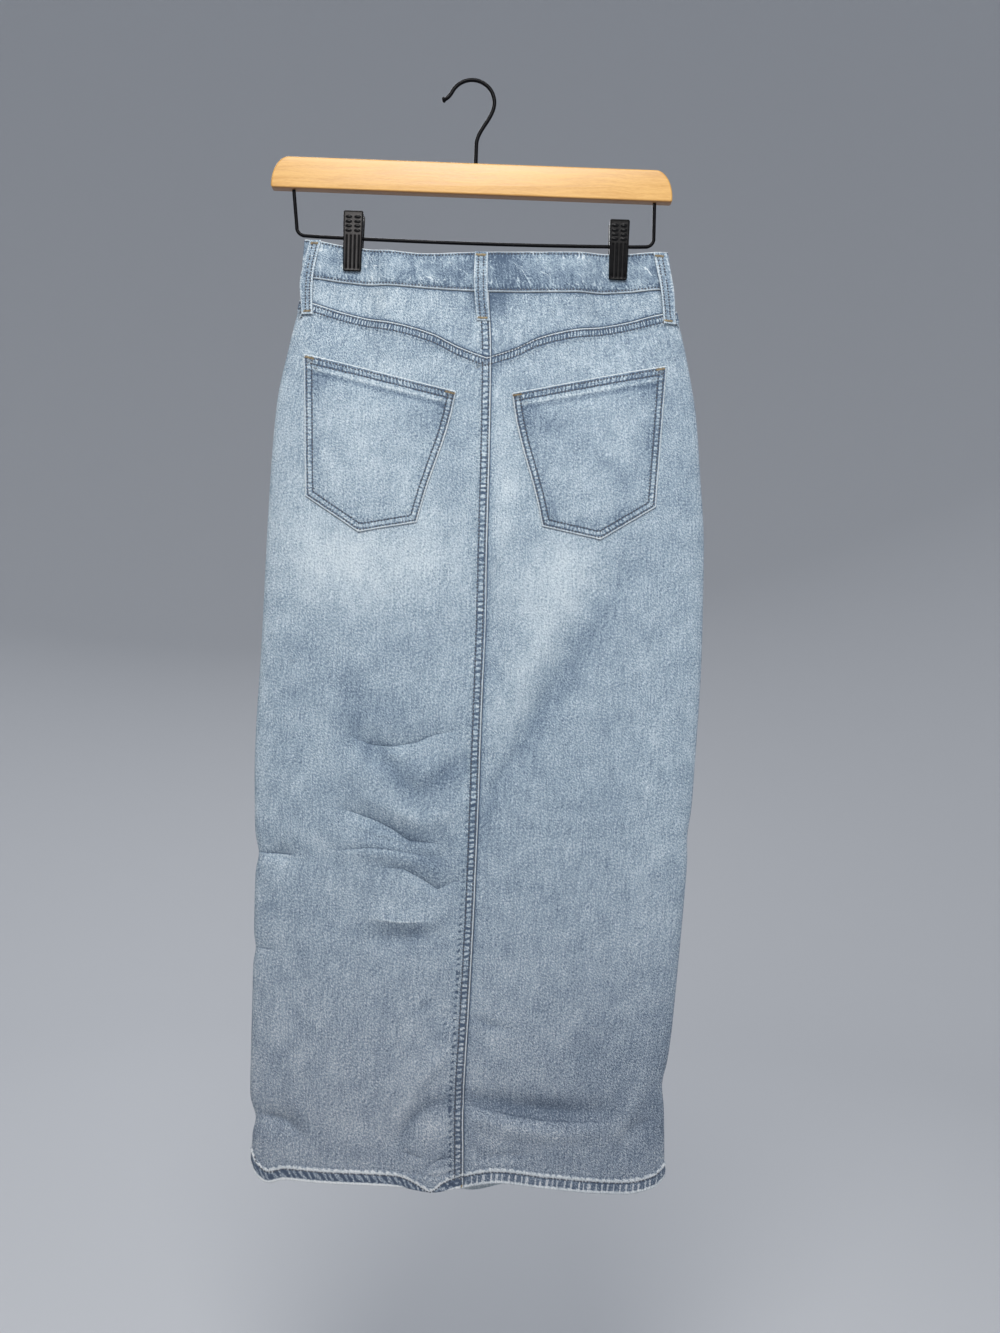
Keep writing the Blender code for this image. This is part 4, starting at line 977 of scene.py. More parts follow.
def makeYoke(name, half, word):
    columns, arc = columnsFor(-1, half, panel["back"]["step"], (panel["lap"],))
    q = half * columns
    top = lineHeight("bandLowBack", across(-1, q, tube["levels"]["bandLow"])) - tube["gap"]
    low = yokeFoot(q)
    x, z = seamedGrid(-1, half, q, top, low, rowsFor(yokeLook["length"], yokeLook["step"]))
    fromSeam = abs(x - across(-1, 0.0, z))
    u = half * arc[None, :]
    lapped = half < 0
    raised = border(fromSeam, panel["lap"], yokeLook["lapRise"]) if lapped else 0.0
    layers = {
        "weave": (u + 400.0, z, least(z - low, top - z, noLap if lapped else fromSeam)),
        "seam": nearestSeam(x.shape, [(z, fromSeam, panel["lap"])] if lapped else []),
        "tone": toneLayer(-1, x, z, washAndShadeAt(-1, x, z) + yokeLook["paler"]),
        "hem": (u, 200.0, 0.0),
    }
    edge = least(top - z, z - low, arc, arc[-1] - arc)
    piece = clothSheet(name, -1, x, z, 0.0, tube["denim"] + raised, edge, layers, "washed denim")
    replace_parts(piece, word)


for half, word in ((-1, "left"), (1, "right")):
    makePanel("skirtBack" + word.title(), -1, half, "back_panel_" + word)
    makePanel("skirtFront" + word.title(), 1, half, "front_panel_" + word)
    makeYoke("yoke" + word.title(), half, "back_yoke_" + word)
print("panels and yoke made")


# The waistband

waistband = {
    "thickness": 2.8,
    "level": -178.0,
    "height": 37.0,
    "step": 2.2,
    "rowStep": 1.8,
    "lap": 20.0,  # each front end runs this far past the middle
    "lapRamp": 24.0,
    "seamWidth": 4.2,
    "puff": 0.5,
    "stitchDips": ((2.2, 1.3, 1.0), (2.4, 1.3, 1.0)),  # in from the top and from the bottom, width, share
    "dipDepth": 0.35,
    "lumps": {"height": 0.30, "cell": 9.0, "seed": 41, "stretch": (1.6, 0.7)},
    "marks": ((8, -0.16, 14), (30, -0.22, 12), (50, -0.10, 20), (-60, 0.06, 40), (150, 0.05, 30),
              (-140, 0.08, 20)),  # x, amount, half width
    "cutHeights": (0.076, 0.038),  # both layers, and one
}


def bandPlace(fraction, z):
    row = sectionAt(z)
    return (row["left"] + row["right"]) / 2.0 + fraction * ((row["right"] - row["left"]) / 2.0 - tube["denim"])


def bandHalf():
    row = plainSection(waistband["level"])
    return (row["right"] - row["left"]) / 2.0 - tube["denim"]


def lapLift(x, z):
    row = sectionAt(z)
    start = (row["left"] + row["right"]) / 2.0 - waistband["lap"] - 1.0
    rise = waistband["thickness"] + tube["gap"]
    return rise * smoothstep((x - start + waistband["lapRamp"]) / waistband["lapRamp"])


def bandFade(side, x, z):
    total = rippled(washAndShade["base"]["band"], washAndShade["ripples"]["band"], x, z)
    if side < 0:
        for cx, amount, wide in waistband["marks"]:
            total = total + amount * bump((x - cx) / wide)
    return total


def makeBand(name, side, ends, word, lifted=False):
    lineNames = ("bandTopBack", "bandLowBack") if side < 0 else ("bandTopFront", "bandLowFront")
    row = plainSection(waistband["level"])
    f = np.sin(np.linspace(math.asin(ends[0]), math.asin(ends[1]), 4000))
    depth = row["back" if side < 0 else "front"] * np.sqrt(np.maximum(0.0, 1.0 - f * f))
    arc = arcAlong(np.diff(f) * bandHalf(), np.diff(depth))
    columns = spread(arc[-1], waistband["step"])
    f = np.interp(columns, arc, f)
    top = lineHeight(lineNames[0], bandPlace(f, tube["levels"]["bandTop"]))
    low = lineHeight(lineNames[1], bandPlace(f, tube["levels"]["bandLow"]))
    down = rowsFor(waistband["height"], waistband["rowStep"])
    z = partWay(top, low, (down / down[-1])[:, None])
    x = bandPlace(f, z)
    u = columns[None, :]
    fromTop, fromLow = top - z, z - low
    held = clipHold(x, z)
    lump, (stretchX, stretchZ) = waistband["lumps"], waistband["lumps"]["stretch"]
    puff = waistband["puff"] * np.sin(np.pi * np.clip(fromTop / (fromTop + fromLow), 0.0, 1.0))
    lumps = lump["height"] * ripple(u * stretchX, z * stretchZ, lump["cell"], lump["seed"]) * (1.0 - held)
    dips = waistband["dipDepth"] * sum(
        ridgeAt(distance, *dip) for distance, dip in zip((fromTop, fromLow), waistband["stitchDips"]))
    thickness = waistband["thickness"] + (puff + lumps) * (1.0 - held) - dips * (1.0 - held)
    layers = {
        "weave": (u + 900.0, z, noLap),
        "seam": nearestSeam(x.shape, [(u, fromTop, waistband["seamWidth"]), (u, fromLow, waistband["seamWidth"])]),
        "tone": toneLayer(side, x, z, bandFade(side, x, z)),
    }
    edge = least(fromTop, fromLow, columns, columns[-1] - columns)
    lift = lapLift(x, z) if lifted else 0.0
    piece = clothSheet(name, side, x, z, lift, thickness, edge, layers, "waistband denim")
    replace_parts(piece, word)


lapEnd = waistband["lap"] / bandHalf()
makeBand("waistbandBack", -1, (-1.0, 1.0), "waistband_back")
makeBand("waistbandFrontLeft", 1, (-1.0, lapEnd), "waistband_front_left", lifted=True)
makeBand("waistbandFrontRight", 1, (-lapEnd, 1.0), "waistband_front_right")
print("waistband made")


# Back pockets, in distances from the middle of the yoke

pocket = {
    "innerTop": (26.0, -299.0),
    "outerTop": (170.3, -266.0),
    "innerBottom": (58.4, -422.3),
    "outerBottom": (164.0, -400.0),
    "point": (113.0, -432.6),
    "sway": 2.5,
    "across": 126.0,
    "step": 2.0,
    "thickness": 1.2,
    "lift": 0.6,
    "hem": 12.5,
    "hemRise": 0.8,
    "puff": 0.7,
    "puckers": (9.5, 3.0, 0.10, 6.0),  # in from the edge, width, rise, pitch
    "stitchDips": ((2.2, 1.0, 1.0), (7.0, 1.0, 1.0)),  # in from the edge, width, share
    "dipDepth": 0.25,
    "seamWidth": 8.5,
    "hemSeam": 9.2,
    "darker": {-1: 0.0, 1: 0.08},  # the right pocket is a little darker
    "marks": ((105, -365, 44, 46, 0.0, 0.10), (150, -290, 20, 14, 0.0, -0.20)),
    "innerMark": (40, -318, 16, 20, 0.0),
    "innerAmount": {-1: -0.16, 1: -0.06},
    # painted shade of a soft fold running across the pocket
    "slant": {"x": 60.0, "z": -330.0, "slope": 0.6, "width": 13.0, "amount": 0.10, "share": {-1: 0.5, 1: 1.3}},
    "underHemShadow": (15.4, 1.8, 0.28),  # painted shadow under the hem's fold: down from the top, width, amount
    "hemLight": (11.3, 1.3, 0.30),
    "topLight": (1.0, 1.4, 0.12),
    "hemShade": (5.2, 2.7, 0.17),
    "sideShade": (11.0, 4.0, 0.10),  # in from the edge, width, amount
}


def pocketTip():
    wide = pocket["outerBottom"][0] - pocket["innerBottom"][0]
    return (pocket["point"][0] - pocket["innerBottom"][0]) / wide


def pocketPlace(p, r):  # p from the inner to the outer side, r downwards
    sway = -0.5 * pocket["sway"] * (np.sin(2.0 * np.pi * r) + np.sin(np.pi * r))
    innerX, innerZ = (partWay(a, b, r) for a, b in zip(pocket["innerTop"], pocket["innerBottom"]))
    outerX, outerZ = (partWay(a, b, r) for a, b in zip(pocket["outerTop"], pocket["outerBottom"]))
    tip = pocketTip()
    sag = np.where(p < tip, p / tip, (1.0 - p) / (1.0 - tip))
    straight = partWay(pocket["innerBottom"][1], pocket["outerBottom"][1], tip)
    drop = (pocket["point"][1] - straight) * sag * r * r
    return partWay(innerX + sway, outerX, p), partWay(innerZ, outerZ, p) + drop


def pocketOutline(count):  # down the inner side, round the bottom and up the outer side
    run = np.linspace(0.0, 1.0, count)
    down = np.stack(pocketPlace(0.0 * run, run), axis=1)
    bottom = np.stack(pocketPlace(run, 0.0 * run + 1.0), axis=1)
    up = np.stack(pocketPlace(0.0 * run + 1.0, run[::-1]), axis=1)
    return np.concatenate((down, bottom[1:], up[1:]))


def pocketWashAndShade(half, x, z, d, fromTop, sides, inside):
    slant = pocket["slant"]
    fadeAndShade = rippled(washAndShade["base"]["pocket"] - pocket["darker"][half], washAndShade["ripples"]["pocket"], x, z)
    fadeAndShade = marked(fadeAndShade, (*pocket["marks"], (*pocket["innerMark"], pocket["innerAmount"][half])), d, z)
    # painted shade of a soft fold across the pocket
    away = ((d - slant["x"]) * slant["slope"] + (z - slant["z"])) / slant["width"]
    fadeAndShade -= slant["amount"] * bump(away) * inside * slant["share"][half]
    # painted shadow under the hem's fold
    fadeAndShade -= ridgeAt(fromTop, *pocket["underHemShadow"]) * smoothstep((sides - 4.0) / 4.0)
    fadeAndShade += (ridgeAt(fromTop, *pocket["hemLight"]) * smoothstep((sides - 1.0) / 3.0)
             + ridgeAt(fromTop, *pocket["topLight"]))
    fadeAndShade -= ridgeAt(fromTop, *pocket["hemShade"])
    return fadeAndShade - ridgeAt(sides, *pocket["sideShade"]) * smoothstep((fromTop - 12.0) / 4.0)


def makePocket(name, half, which):
    tip, length = pocketTip(), pocket["innerTop"][1] - pocket["innerBottom"][1]
    wide = spread(pocket["across"], pocket["step"]) / pocket["across"]
    wide[np.argmin(abs(wide - tip))] = tip
    p, r = np.meshgrid(wide, rowsFor(length, pocket["step"], borders=(pocket["hem"],)) / length)
    d, z = pocketPlace(p, r)
    x = yokeMiddle + half * d
    sides, sideAlong = nearestOnPath(pocketOutline(14), d, z)[:2]
    fromTop = r * length
    inside = smoothstep((sides - 9.0) / 16.0) * smoothstep((fromTop - 15.0) / 16.0)
    place, width, rise, pitch = pocket["puckers"]
    puckers = ridgeAt(sides, place, width, rise * np.sin(sideAlong * 2.0 * np.pi / pitch))
    dips = sum(ridgeAt(sides, *dip) for dip in pocket["stitchDips"])
    thickness = pocket["thickness"] + border(fromTop, pocket["hem"], pocket["hemRise"])
    thickness = thickness + pocket["puff"] * inside + puckers
    thickness -= pocket["dipDepth"] * dips * smoothstep((fromTop - 1.0) / 2.0)
    layers = {
        "weave": (x + 1500.0, z, noLap),
        "seam": nearestSeam(x.shape, [(sideAlong, sides, pocket["seamWidth"]), (d, fromTop, pocket["hemSeam"])]),
        "tone": toneLayer(-1, x, z, pocketWashAndShade(half, x, z, d, fromTop, sides, inside)),
    }
    piece = clothSheet(name, -1, x, z, tube["denim"] + pocket["lift"], thickness, least(fromTop, sides), layers,
                       "pocket denim")
    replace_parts(piece, "back_pocket_" + which)


makePocket("pocketLeft", -1, "left")
makePocket("pocketRight", 1, "right")
print("pockets made")


# Belt loops

loop = {
    "width": 12.6,
    "thickness": 1.4,
    "bow": 1.2,
    "stepDown": 0.62,  # share of its length where the strap starts down off the waistband
    "stepLength": 0.3,
    "turnedUnder": 16.0,  # at both ends together
    "fold": (1.2, 1.1, 0.35),  # in from the edge, width, rise
    "groove": (2.3, 0.8, 0.25),  # out from the middle, width, depth
    "grooveShade": (2.3, 1.4, 0.10),
    "edgeLight": (0.3, 1.0, 0.42),
    "footLight": (0.0, 1.6, 0.35),
    "straps": {  # how far the foot stands off; narrow where the strap goes round the side
        "loopBackLeft": {"node": "belt_loop_back_left", "side": -1, "top": (-141.4, -156.9),
                         "bottom": (-146.5, -228.0), "foot": 2.9, "sway": -3.0, "narrow": 0.78, "darkFoot": 0.0},
        "loopBackCentre": {"node": "belt_loop_back_centre", "side": -1, "top": (15.6, -165.0),
                           "bottom": (19.7, -231.0), "foot": 2.0, "sway": -1.6, "narrow": 1.0, "darkFoot": 0.14},
        "loopBackRight": {"node": "belt_loop_back_right", "side": -1, "top": (183.2, -158.6),
                          "bottom": (194.4, -226.0), "foot": 2.9, "sway": 1.2, "narrow": 0.88, "darkFoot": 0.05},
        "loopFrontLeft": {"node": "belt_loop_front_left", "side": 1, "top": (-58.0, -168.6),
                          "bottom": (-60.0, -236.0), "foot": 2.0, "sway": 0.0, "narrow": 1.0, "darkFoot": 0.0},
        "loopFrontRight": {"node": "belt_loop_front_right", "side": 1, "top": (96.0, -168.4),
                           "bottom": (99.0, -236.0), "foot": 2.0, "sway": 0.0, "narrow": 1.0, "darkFoot": 0.0},
    },
}


def loopPlace(strap, s, t):  # s across in mm, t from top to bottom
    (topX, topZ), (lowX, lowZ) = strap["top"], strap["bottom"]
    s = s * strap["narrow"] + strap["sway"] * np.sin(np.pi * t)
    head = waistband["thickness"] + 2.0 * tube["gap"]
    height = partWay(head, strap["foot"], smoothstep((t - loop["stepDown"]) / loop["stepLength"]))
    height = height + loop["bow"] * np.sin(np.pi * t) ** 2
    return partWay(topX, lowX, t) + s, partWay(topZ, lowZ, t), height


def makeLoop(name, strap):
    length, half, side = strap["top"][1] - strap["bottom"][1], loop["width"] / 2.0, strap["side"]
    s, t = np.meshgrid(spread(loop["width"], 0.9) - half, rowsFor(length, 1.6) / length)
    x, z, height = loopPlace(strap, s, t)
    fromEdge, fromFoot = half - abs(s), length * (1.0 - t)
    thickness = loop["thickness"] + (ridgeAt(fromEdge, *loop["fold"]) - ridgeAt(abs(s), *loop["groove"]))
    thickness = thickness + 0.12 * ripple(x * 1.4, z, 5.0, 81)
    fadeAndShade = washAndShade["base"]["strap"] - strap["darkFoot"] * smoothstep((t - 0.45) / 0.2)
    fadeAndShade += 0.12 * ripple(x, z, 14.0, 82) - ridgeAt(abs(s), *loop["grooveShade"])
    fadeAndShade += ridgeAt(fromEdge, *loop["edgeLight"]) + ridgeAt(fromFoot, *loop["footLight"])
    layers = {"weave": (z + 2000.0, x, noLap), "seam": (z, fromEdge, 0.0), "tone": (fadeAndShade, 0.0, 0.0)}
    edge = least(fromEdge, length * least(t, 1.0 - t))
    piece = clothSheet(name, side, x, z, height, thickness, edge, layers, "strap denim")
    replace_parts(piece, strap["node"])


for name, strap in loop["straps"].items():
    makeLoop(name, strap)
print("belt loops made")


# Stitches lie on the finished cloth, found by looking straight at it from outside

stitch = {
    "pitch": 3.1,
    "length": 2.0,
    "radius": 0.76,
    "thickness": (0.85, 1.15),  # share of the radius, from the finest to the thickest
    "jitter": 0.10,  # along the row
    "wander": 0.16,  # across it
    "sunk": 0.10,
    "flat": 0.8,
    "sides": 6,
    "profile": ((0.0, 0.40, -0.30), (0.13, 0.88, 0.0), (0.5, 1.0, 0.12), (0.87, 0.88, 0.0),
                (1.0, 0.40, -0.30)),  # along, width, lift
}
tack = {"pitch": 0.55, "radius": 0.36, "lift": 0.25, "zigzag": 0.35, "tall": (0.85, 1.1)}
sewing = {  # how far in from its edge each row of stitches lies
    "backSeam": (2.1, 8.0),
    "backSeamParts": ((-269.0, -1041.0), (-206.0, -262.0)),  # below and above the yoke's line
    "frontSeam": (2.2, 8.4),
    "frontSeamPart": (-212.0, -1044.0),
    "hem": 10.6,
    "hemSkip": 0.03,  # share of the stitches that are worn away
    "hemEnds": (-171.0, 216.0),
    "bandTop": 2.2,
    "bandLow": 2.3,
    "pocket": (2.0, 7.0),
    "pocketTop": (2.7, 7.8),
    "pocketTack": {"in": 5.2, "down": 2.6, "length": 9.0, "height": 2.3},
    "loop": (-2.5, 2.5),
    "loopPart": (0.05, 0.955),
    "loopStitch": {"pitch": 2.7, "length": 2.0, "skip": 0.06},
    "loopTacks": ((0.045, 2.6), (0.955, 2.3)),  # share of the way down, height
    "loopTackLength": 9.6,
    "fly": {"wide": 40.0, "top": -212.0, "straightTo": -300.0, "foot": -362.0,
            "curve": ((-28.0, -330.0), (-16.0, -350.0), (0.0, -362.0)), "end": -366.0},
    "flyRows": (0.0, 5.6),
}
dice = np.random.default_rng(20)


def clothTree(*names):
    shape = bmesh.new()
    for name in names:
        shape.from_mesh(bpy.data.objects[name].data)
    tree = BVHTree.FromBMesh(shape)
    shape.free()
    return tree


def landing(tree, side, x, z):
    hit, normal, _, _ = tree.ray_cast(Vector((x * mm, side * 0.08, z * mm)), Vector((0.0, -side, 0.0)))
    if hit is None or normal.y * side < 0.12:
        return None, None
    return hit / mm, normal


def placeOn(total, path, at):
    return float(np.interp(at, total, path[:, 0])), float(np.interp(at, total, path[:, 1]))


def stitchRow(tree, side, path, pitch=stitch["pitch"], length=stitch["length"], skip=0.0):
    path = np.array(path, float)
    total = arcAlong(*np.diff(path, axis=0).T)
    dashes = []
    for start in np.arange(0.5 * (pitch - length), total[-1], pitch):
        one, two = dice.normal(0.0, stitch["jitter"]), dice.normal(0.0, stitch["jitter"])
        off = dice.normal(0.0, stitch["wander"], 2)
        if dice.random() < skip or start + length > total[-1]:
            continue
        ax, az = placeOn(total, path, start + one)
        bx, bz = placeOn(total, path, start + length + two)
        size = math.hypot(bx - ax, bz - az) or 1.0
        nx, nz = (az - bz) / size, (bx - ax) / size
        a, normal = landing(tree, side, ax + nx * off[0], az + nz * off[0])
        b, normalB = landing(tree, side, bx + nx * off[1], bz + nz * off[1])
        if a is not None and b is not None and (a - b).length < 2.0 * length:
            radius = stitch["radius"] * float(dice.uniform(*stitch["thickness"]))
            dashes.append((a, b, (normal + normalB).normalized(), radius))
    return dashes


def bartack(tree, side, x, z, turn, length, height):  # short threads side by side, turn in degrees
    ca, sa = math.cos(math.radians(turn)), math.sin(math.radians(turn))
    dashes = []
    for k in range(int(length / tack["pitch"])):
        s = -0.5 * length + k * tack["pitch"] + dice.normal(0.0, 0.06)
        tall = 0.5 * height * dice.uniform(*tack["tall"])
        lean = dice.normal(0.0, 0.12) + tack["zigzag"] * (-1) ** k
        ends = []
        for way in (-1.0, 1.0):
            p, q = s + lean * way, tall * way
            ends.append(landing(tree, side, x + p * ca - q * sa, z + p * sa + q * ca))
        (a, normal), (b, _) = ends
        if a is not None and b is not None:
            dashes.append((a + tack["lift"] * normal, b + tack["lift"] * normal, normal, tack["radius"]))
    return dashes


def fullTurn(count):
    return [2.0 * math.pi * k / count for k in range(count)]


def rodFaces(base, rings, sides):  # a closed rod of rings, whose first point has the number base
    faces = []
    for at in range(base, base + (rings - 1) * sides, sides):
        pairs = ((at + k, at + (k + 1) % sides) for k in range(sides))
        faces += [(a, b, b + sides, a + sides) for a, b in pairs]
    last = base + (rings - 1) * sides
    return faces + [tuple(range(base + sides - 1, base - 1, -1)), tuple(range(last, last + sides))]


def threadMesh(name, dashes, materialName):
    points, faces = [], []
    for a, b, normal, radius in dashes:
        beside = (b - a).normalized().cross(normal).normalized()
        faces += rodFaces(len(points), len(stitch["profile"]), stitch["sides"])
        for t, wide, lift in stitch["profile"]:
            middle = a + (b - a) * t + normal * (lift - stitch["sunk"]) * radius / stitch["radius"]
            for angle in fullTurn(stitch["sides"]):
                out = math.cos(angle) * beside + stitch["flat"] * math.sin(angle) * normal
                points.append(tuple((middle + radius * wide * out) * mm))
    mesh = smoothMesh(name, points, faces)
    mesh.flip_normals()
    placed(mesh, materialName)


def rowAcross(ends, step, heightOf):
    x = np.arange(*ends, step)
    return list(zip(x, heightOf(x)))


def seamLine(side, offset, top, bottom):
    z = np.arange(top, bottom, -6.0)
    return list(zip(across(side, 0.0, z) - offset, z))


def withinSides(z, margin):
    row = plainSection(z)
    return row["left"] + margin, row["right"] - margin


def insetOutline(points, inset):  # a path kept at one distance inside a corner path, mitred
    points = [Vector(p) for p in points]
    moved = []
    for k, p in enumerate(points):
        before = (p - points[k - 1]).normalized() if k else None
        after = (points[k + 1] - p).normalized() if k < len(points) - 1 else None
        one, two = before or after, after or before
        a, b = Vector((-one.y, one.x)), Vector((-two.y, two.x))
        middle = (a + b).normalized()
        moved.append(tuple(p + middle * inset / max(0.4, middle.dot(a))))
    return moved


def sewBack(sewn, tree):
    for offset in sewing["backSeam"]:
        for top, bottom in sewing["backSeamParts"]:
            sewn["seamStitches"] += stitchRow(tree, -1, seamLine(-1, offset, top, bottom))
        yokeLine = rowAcross(withinSides(-230.0, 2.0), 4.0, lambda x: yokeHeight(x) - offset)
        sewn["waistStitches"] += stitchRow(tree, -1, yokeLine)
    hemLine = rowAcross(sewing["hemEnds"], 3.0,
                        lambda x: lineHeight("hemBack", x) + sewing["hem"] - rolledUnder(x))
    sewn["seamStitches"] += stitchRow(tree, -1, hemLine, skip=sewing["hemSkip"])


def sewBand(sewn, tree, side, top, low):
    ends = withinSides(tube["levels"]["frontTop"], 2.2)
    for line, inward in ((top, -sewing["bandTop"]), (low, sewing["bandLow"])):
        row = rowAcross(ends, 4.0, lambda x: lineHeight(line, x) + inward)
        sewn["waistStitches"] += stitchRow(tree, side, row)


def sewPocket(sewn, tree, half):
    run = np.linspace(0.0, 1.0, 14)
    path = [*(pocketPlace(0.0, r) for r in run), pocket["point"], *(pocketPlace(1.0, r) for r in run[::-1])]
    corners = [(yokeMiddle + half * float(d), float(z)) for d, z in path]
    for inset in sewing["pocket"]:
        sewn["pocketStitches"] += stitchRow(tree, -1, insetOutline(corners, inset * half))
    inner, outer = corners[0], corners[-1]
    for down in sewing["pocketTop"]:
        line = [(inner[0], inner[1] - down), (outer[0], outer[1] - down)]
        sewn["pocketStitches"] += stitchRow(tree, -1, line)
    slope = (outer[1] - inner[1]) / (outer[0] - inner[0])
    look, angle = sewing["pocketTack"], math.degrees(math.atan(slope))
    for (cornerX, cornerZ), way in ((inner, half), (outer, -half)):
        x, z = cornerX + way * look["in"], cornerZ + slope * way * look["in"] - look["down"]
        sewn["bartacks"] += bartack(tree, -1, x, z, angle, look["length"], look["height"])


def sewLoop(sewn, tree, strap):
    for s in sewing["loop"]:
        line = [loopPlace(strap, s, t)[:2] for t in np.linspace(*sewing["loopPart"], 9)]
        sewn["waistStitches"] += stitchRow(tree, strap["side"], line, **sewing["loopStitch"])
    wide = sewing["loopTackLength"] * strap["narrow"]
    for t, tall in sewing["loopTacks"]:
        x, z, _ = loopPlace(strap, 0.0, t)
        sewn["bartacks"] += bartack(tree, strap["side"], x, z, 0.0, wide, tall)


def sewFront(sewn, tree):
    for offset in sewing["frontSeam"]:
        sewn["frontStitches"] += stitchRow(tree, 1, seamLine(1, offset, *sewing["frontSeamPart"]))
    hemLine = rowAcross(sewing["hemEnds"], 3.0, lambda x: lineHeight("hemFront", x) + sewing["hem"])
    sewn["frontStitches"] += stitchRow(tree, 1, hemLine)
    fly = sewing["fly"]
    outside = float(across(1, 0.0, fly["top"])) - fly["wide"]
    path = [(outside, fly["top"]), (outside, fly["straightTo"]), *fly["curve"],
            (float(across(1, 0.0, fly["foot"])) - 3.0, fly["end"])]
    for inset in sewing["flyRows"]:
        sewn["frontStitches"] += stitchRow(tree, 1, insetOutline(path, inset))


def makeStitches():
    sewn = {name: [] for name in ("seamStitches", "waistStitches", "pocketStitches", "frontStitches", "bartacks")}
    back = clothTree("skirtBackLeft", "skirtBackRight", "yokeLeft", "yokeRight")
    sewBack(sewn, back)
    sewBand(sewn, clothTree("waistbandBack"), -1, "bandTopBack", "bandLowBack")
    sewBand(sewn, clothTree("waistbandFrontLeft", "waistbandFrontRight"), 1, "bandTopFront", "bandLowFront")
    for half, name in ((-1, "pocketLeft"), (1, "pocketRight")):
        sewPocket(sewn, clothTree(name), half)
    for name, strap in loop["straps"].items():
        sewLoop(sewn, clothTree(name), strap)
    sewFront(sewn, clothTree("skirtFrontLeft", "skirtFrontRight"))
    sewn["bartacks"] += bartack(back, -1, 26.2, -1038.5, 82.0, 2.6, 1.4)  # at the foot of the seam
    for name, dashes in sewn.items():
        threadMesh(name, dashes, "thread gold" if name == "bartacks" else "thread indigo")
    return sum(len(dashes) for dashes in sewn.values())


print("stitches made:", makeStitches())


# Lint along the worn hem, and the thread ends left at the side loops

lint = {
    "ends": (-168.0, 214.0),
    "spacing": 0.42,
    "tufts": {"cell": 9.0, "seed": 91, "least": 0.35, "most": 0.75},  # lint comes in tufts
    "left": {"before": -5.0, "share": 0.45},  # the left part of the hem is less frayed
    "edge": {"above": 0.5, "height": (0.3, 2.4), "length": (0.8, 2.6), "down": -1.0, "radius": 0.15,
             "sideways": 0.6, "out": (-0.2, 0.5), "skip": 0.0, "rolls": False},
    "ridge": {"above": 12.4, "height": (2.7, 3.0), "length": (0.5, 1.3), "down": 0.15, "radius": 0.12,
              "sideways": 1.0, "out": (0.1, 0.7), "skip": 0.35, "rolls": True},
    "taper": ((0.0, 1.0), (0.35, 0.9), (0.7, 0.7), (1.0, 0.3)),
}
looseEnds = {
    "places": ((-151.0, -214.0, -1.0), (-150.5, -219.0, -1.0), (-151.5, -223.0, -1.0), (-150.0, -227.5, -1.0),
               (200.0, -224.0, 1.0)),  # x, z, which way they point
    "each": 4,
    "length": (3.0, 6.5),
    "radius": 0.24,
}


def strandMesh(name, strands, materialName):  # each strand: start, way, curl, length, radius
    points, faces, sides = [], [], 3
    for start, way, curl, length, radius in strands:
        way = Vector(way).normalized()
        beside = way.orthogonal().normalized()
        other = way.cross(beside)
        faces += rodFaces(len(points), len(lint["taper"]), sides)
        for t, wide in lint["taper"]:
            middle = Vector(start) + way * length * t + Vector(curl) * length * t * t
            for angle in fullTurn(sides):
                out = math.cos(angle) * beside + math.sin(angle) * other
                points.append(tuple((middle + radius * wide * out) * mm))
    placed(smoothMesh(name, points, faces), materialName)


def hemLint(chance):
    tufts, left = lint["tufts"], lint["left"]
    x = np.arange(*lint["ends"], lint["spacing"])
    x = x + chance.normal(0.0, 0.2, len(x))
    thick = 0.5 + 0.5 * ripple(x, 0.0 * x, tufts["cell"], tufts["seed"])
    share = np.where(x < left["before"], left["share"], 1.0)
    keep = chance.random(len(x)) < (tufts["least"] + tufts["most"] * thick) * share
    x, thick = x[keep], thick[keep]
    strands = []
    for part in (lint["edge"], lint["ridge"]):
        z = lineHeight("hemBack", x) + part["above"] - (rolledUnder(x) if part["rolls"] else 0.0)
        places, normals = onCloth(-1, x, z, chance.uniform(*part["height"], len(x)))
        for place, normal, tuft in zip(places, normals, thick):
            if part["skip"] and chance.random() < part["skip"]:
                continue
            out = chance.uniform(*part["out"])
            sideways = chance.normal(0.0, part["sideways"])
            way = (sideways, out * normal[1], part["down"] + chance.normal(0.0, 0.3))
            curl = (chance.normal(0.0, 0.5), 0.25 * normal[1], chance.normal(0.0, 0.3))
            length = chance.uniform(*part["length"]) * (0.6 + 0.5 * tuft)
            strands.append((place, way, curl, length, part["radius"] * chance.uniform(0.7, 1.2)))
    return strands


def threadEnds(chance):
    ends = []
    for x, z, way in looseEnds["places"]:
        place, _ = onCloth(-1, x, z, 1.0)
        for _ in range(looseEnds["each"]):
            start = place + chance.normal(0.0, 0.5, 3)
            ends.append((start, (way, -0.25 + chance.normal(0.0, 0.3), chance.normal(-0.3, 0.5)),
                         (0.0, 0.0, chance.normal(-0.6, 0.3)), chance.uniform(*looseEnds["length"]),
                         looseEnds["radius"]))
    return ends


def makeLint():
    chance = np.random.default_rng(33)
    strands, ends = hemLint(chance), threadEnds(chance)
    strandMesh("hemLint", strands, "thread pale")
    strandMesh("threadEnds", ends, "thread indigo")
    return len(strands) + len(ends)


print("strands of lint made:", makeLint())


# The hanger: bar, wires, clips and springs

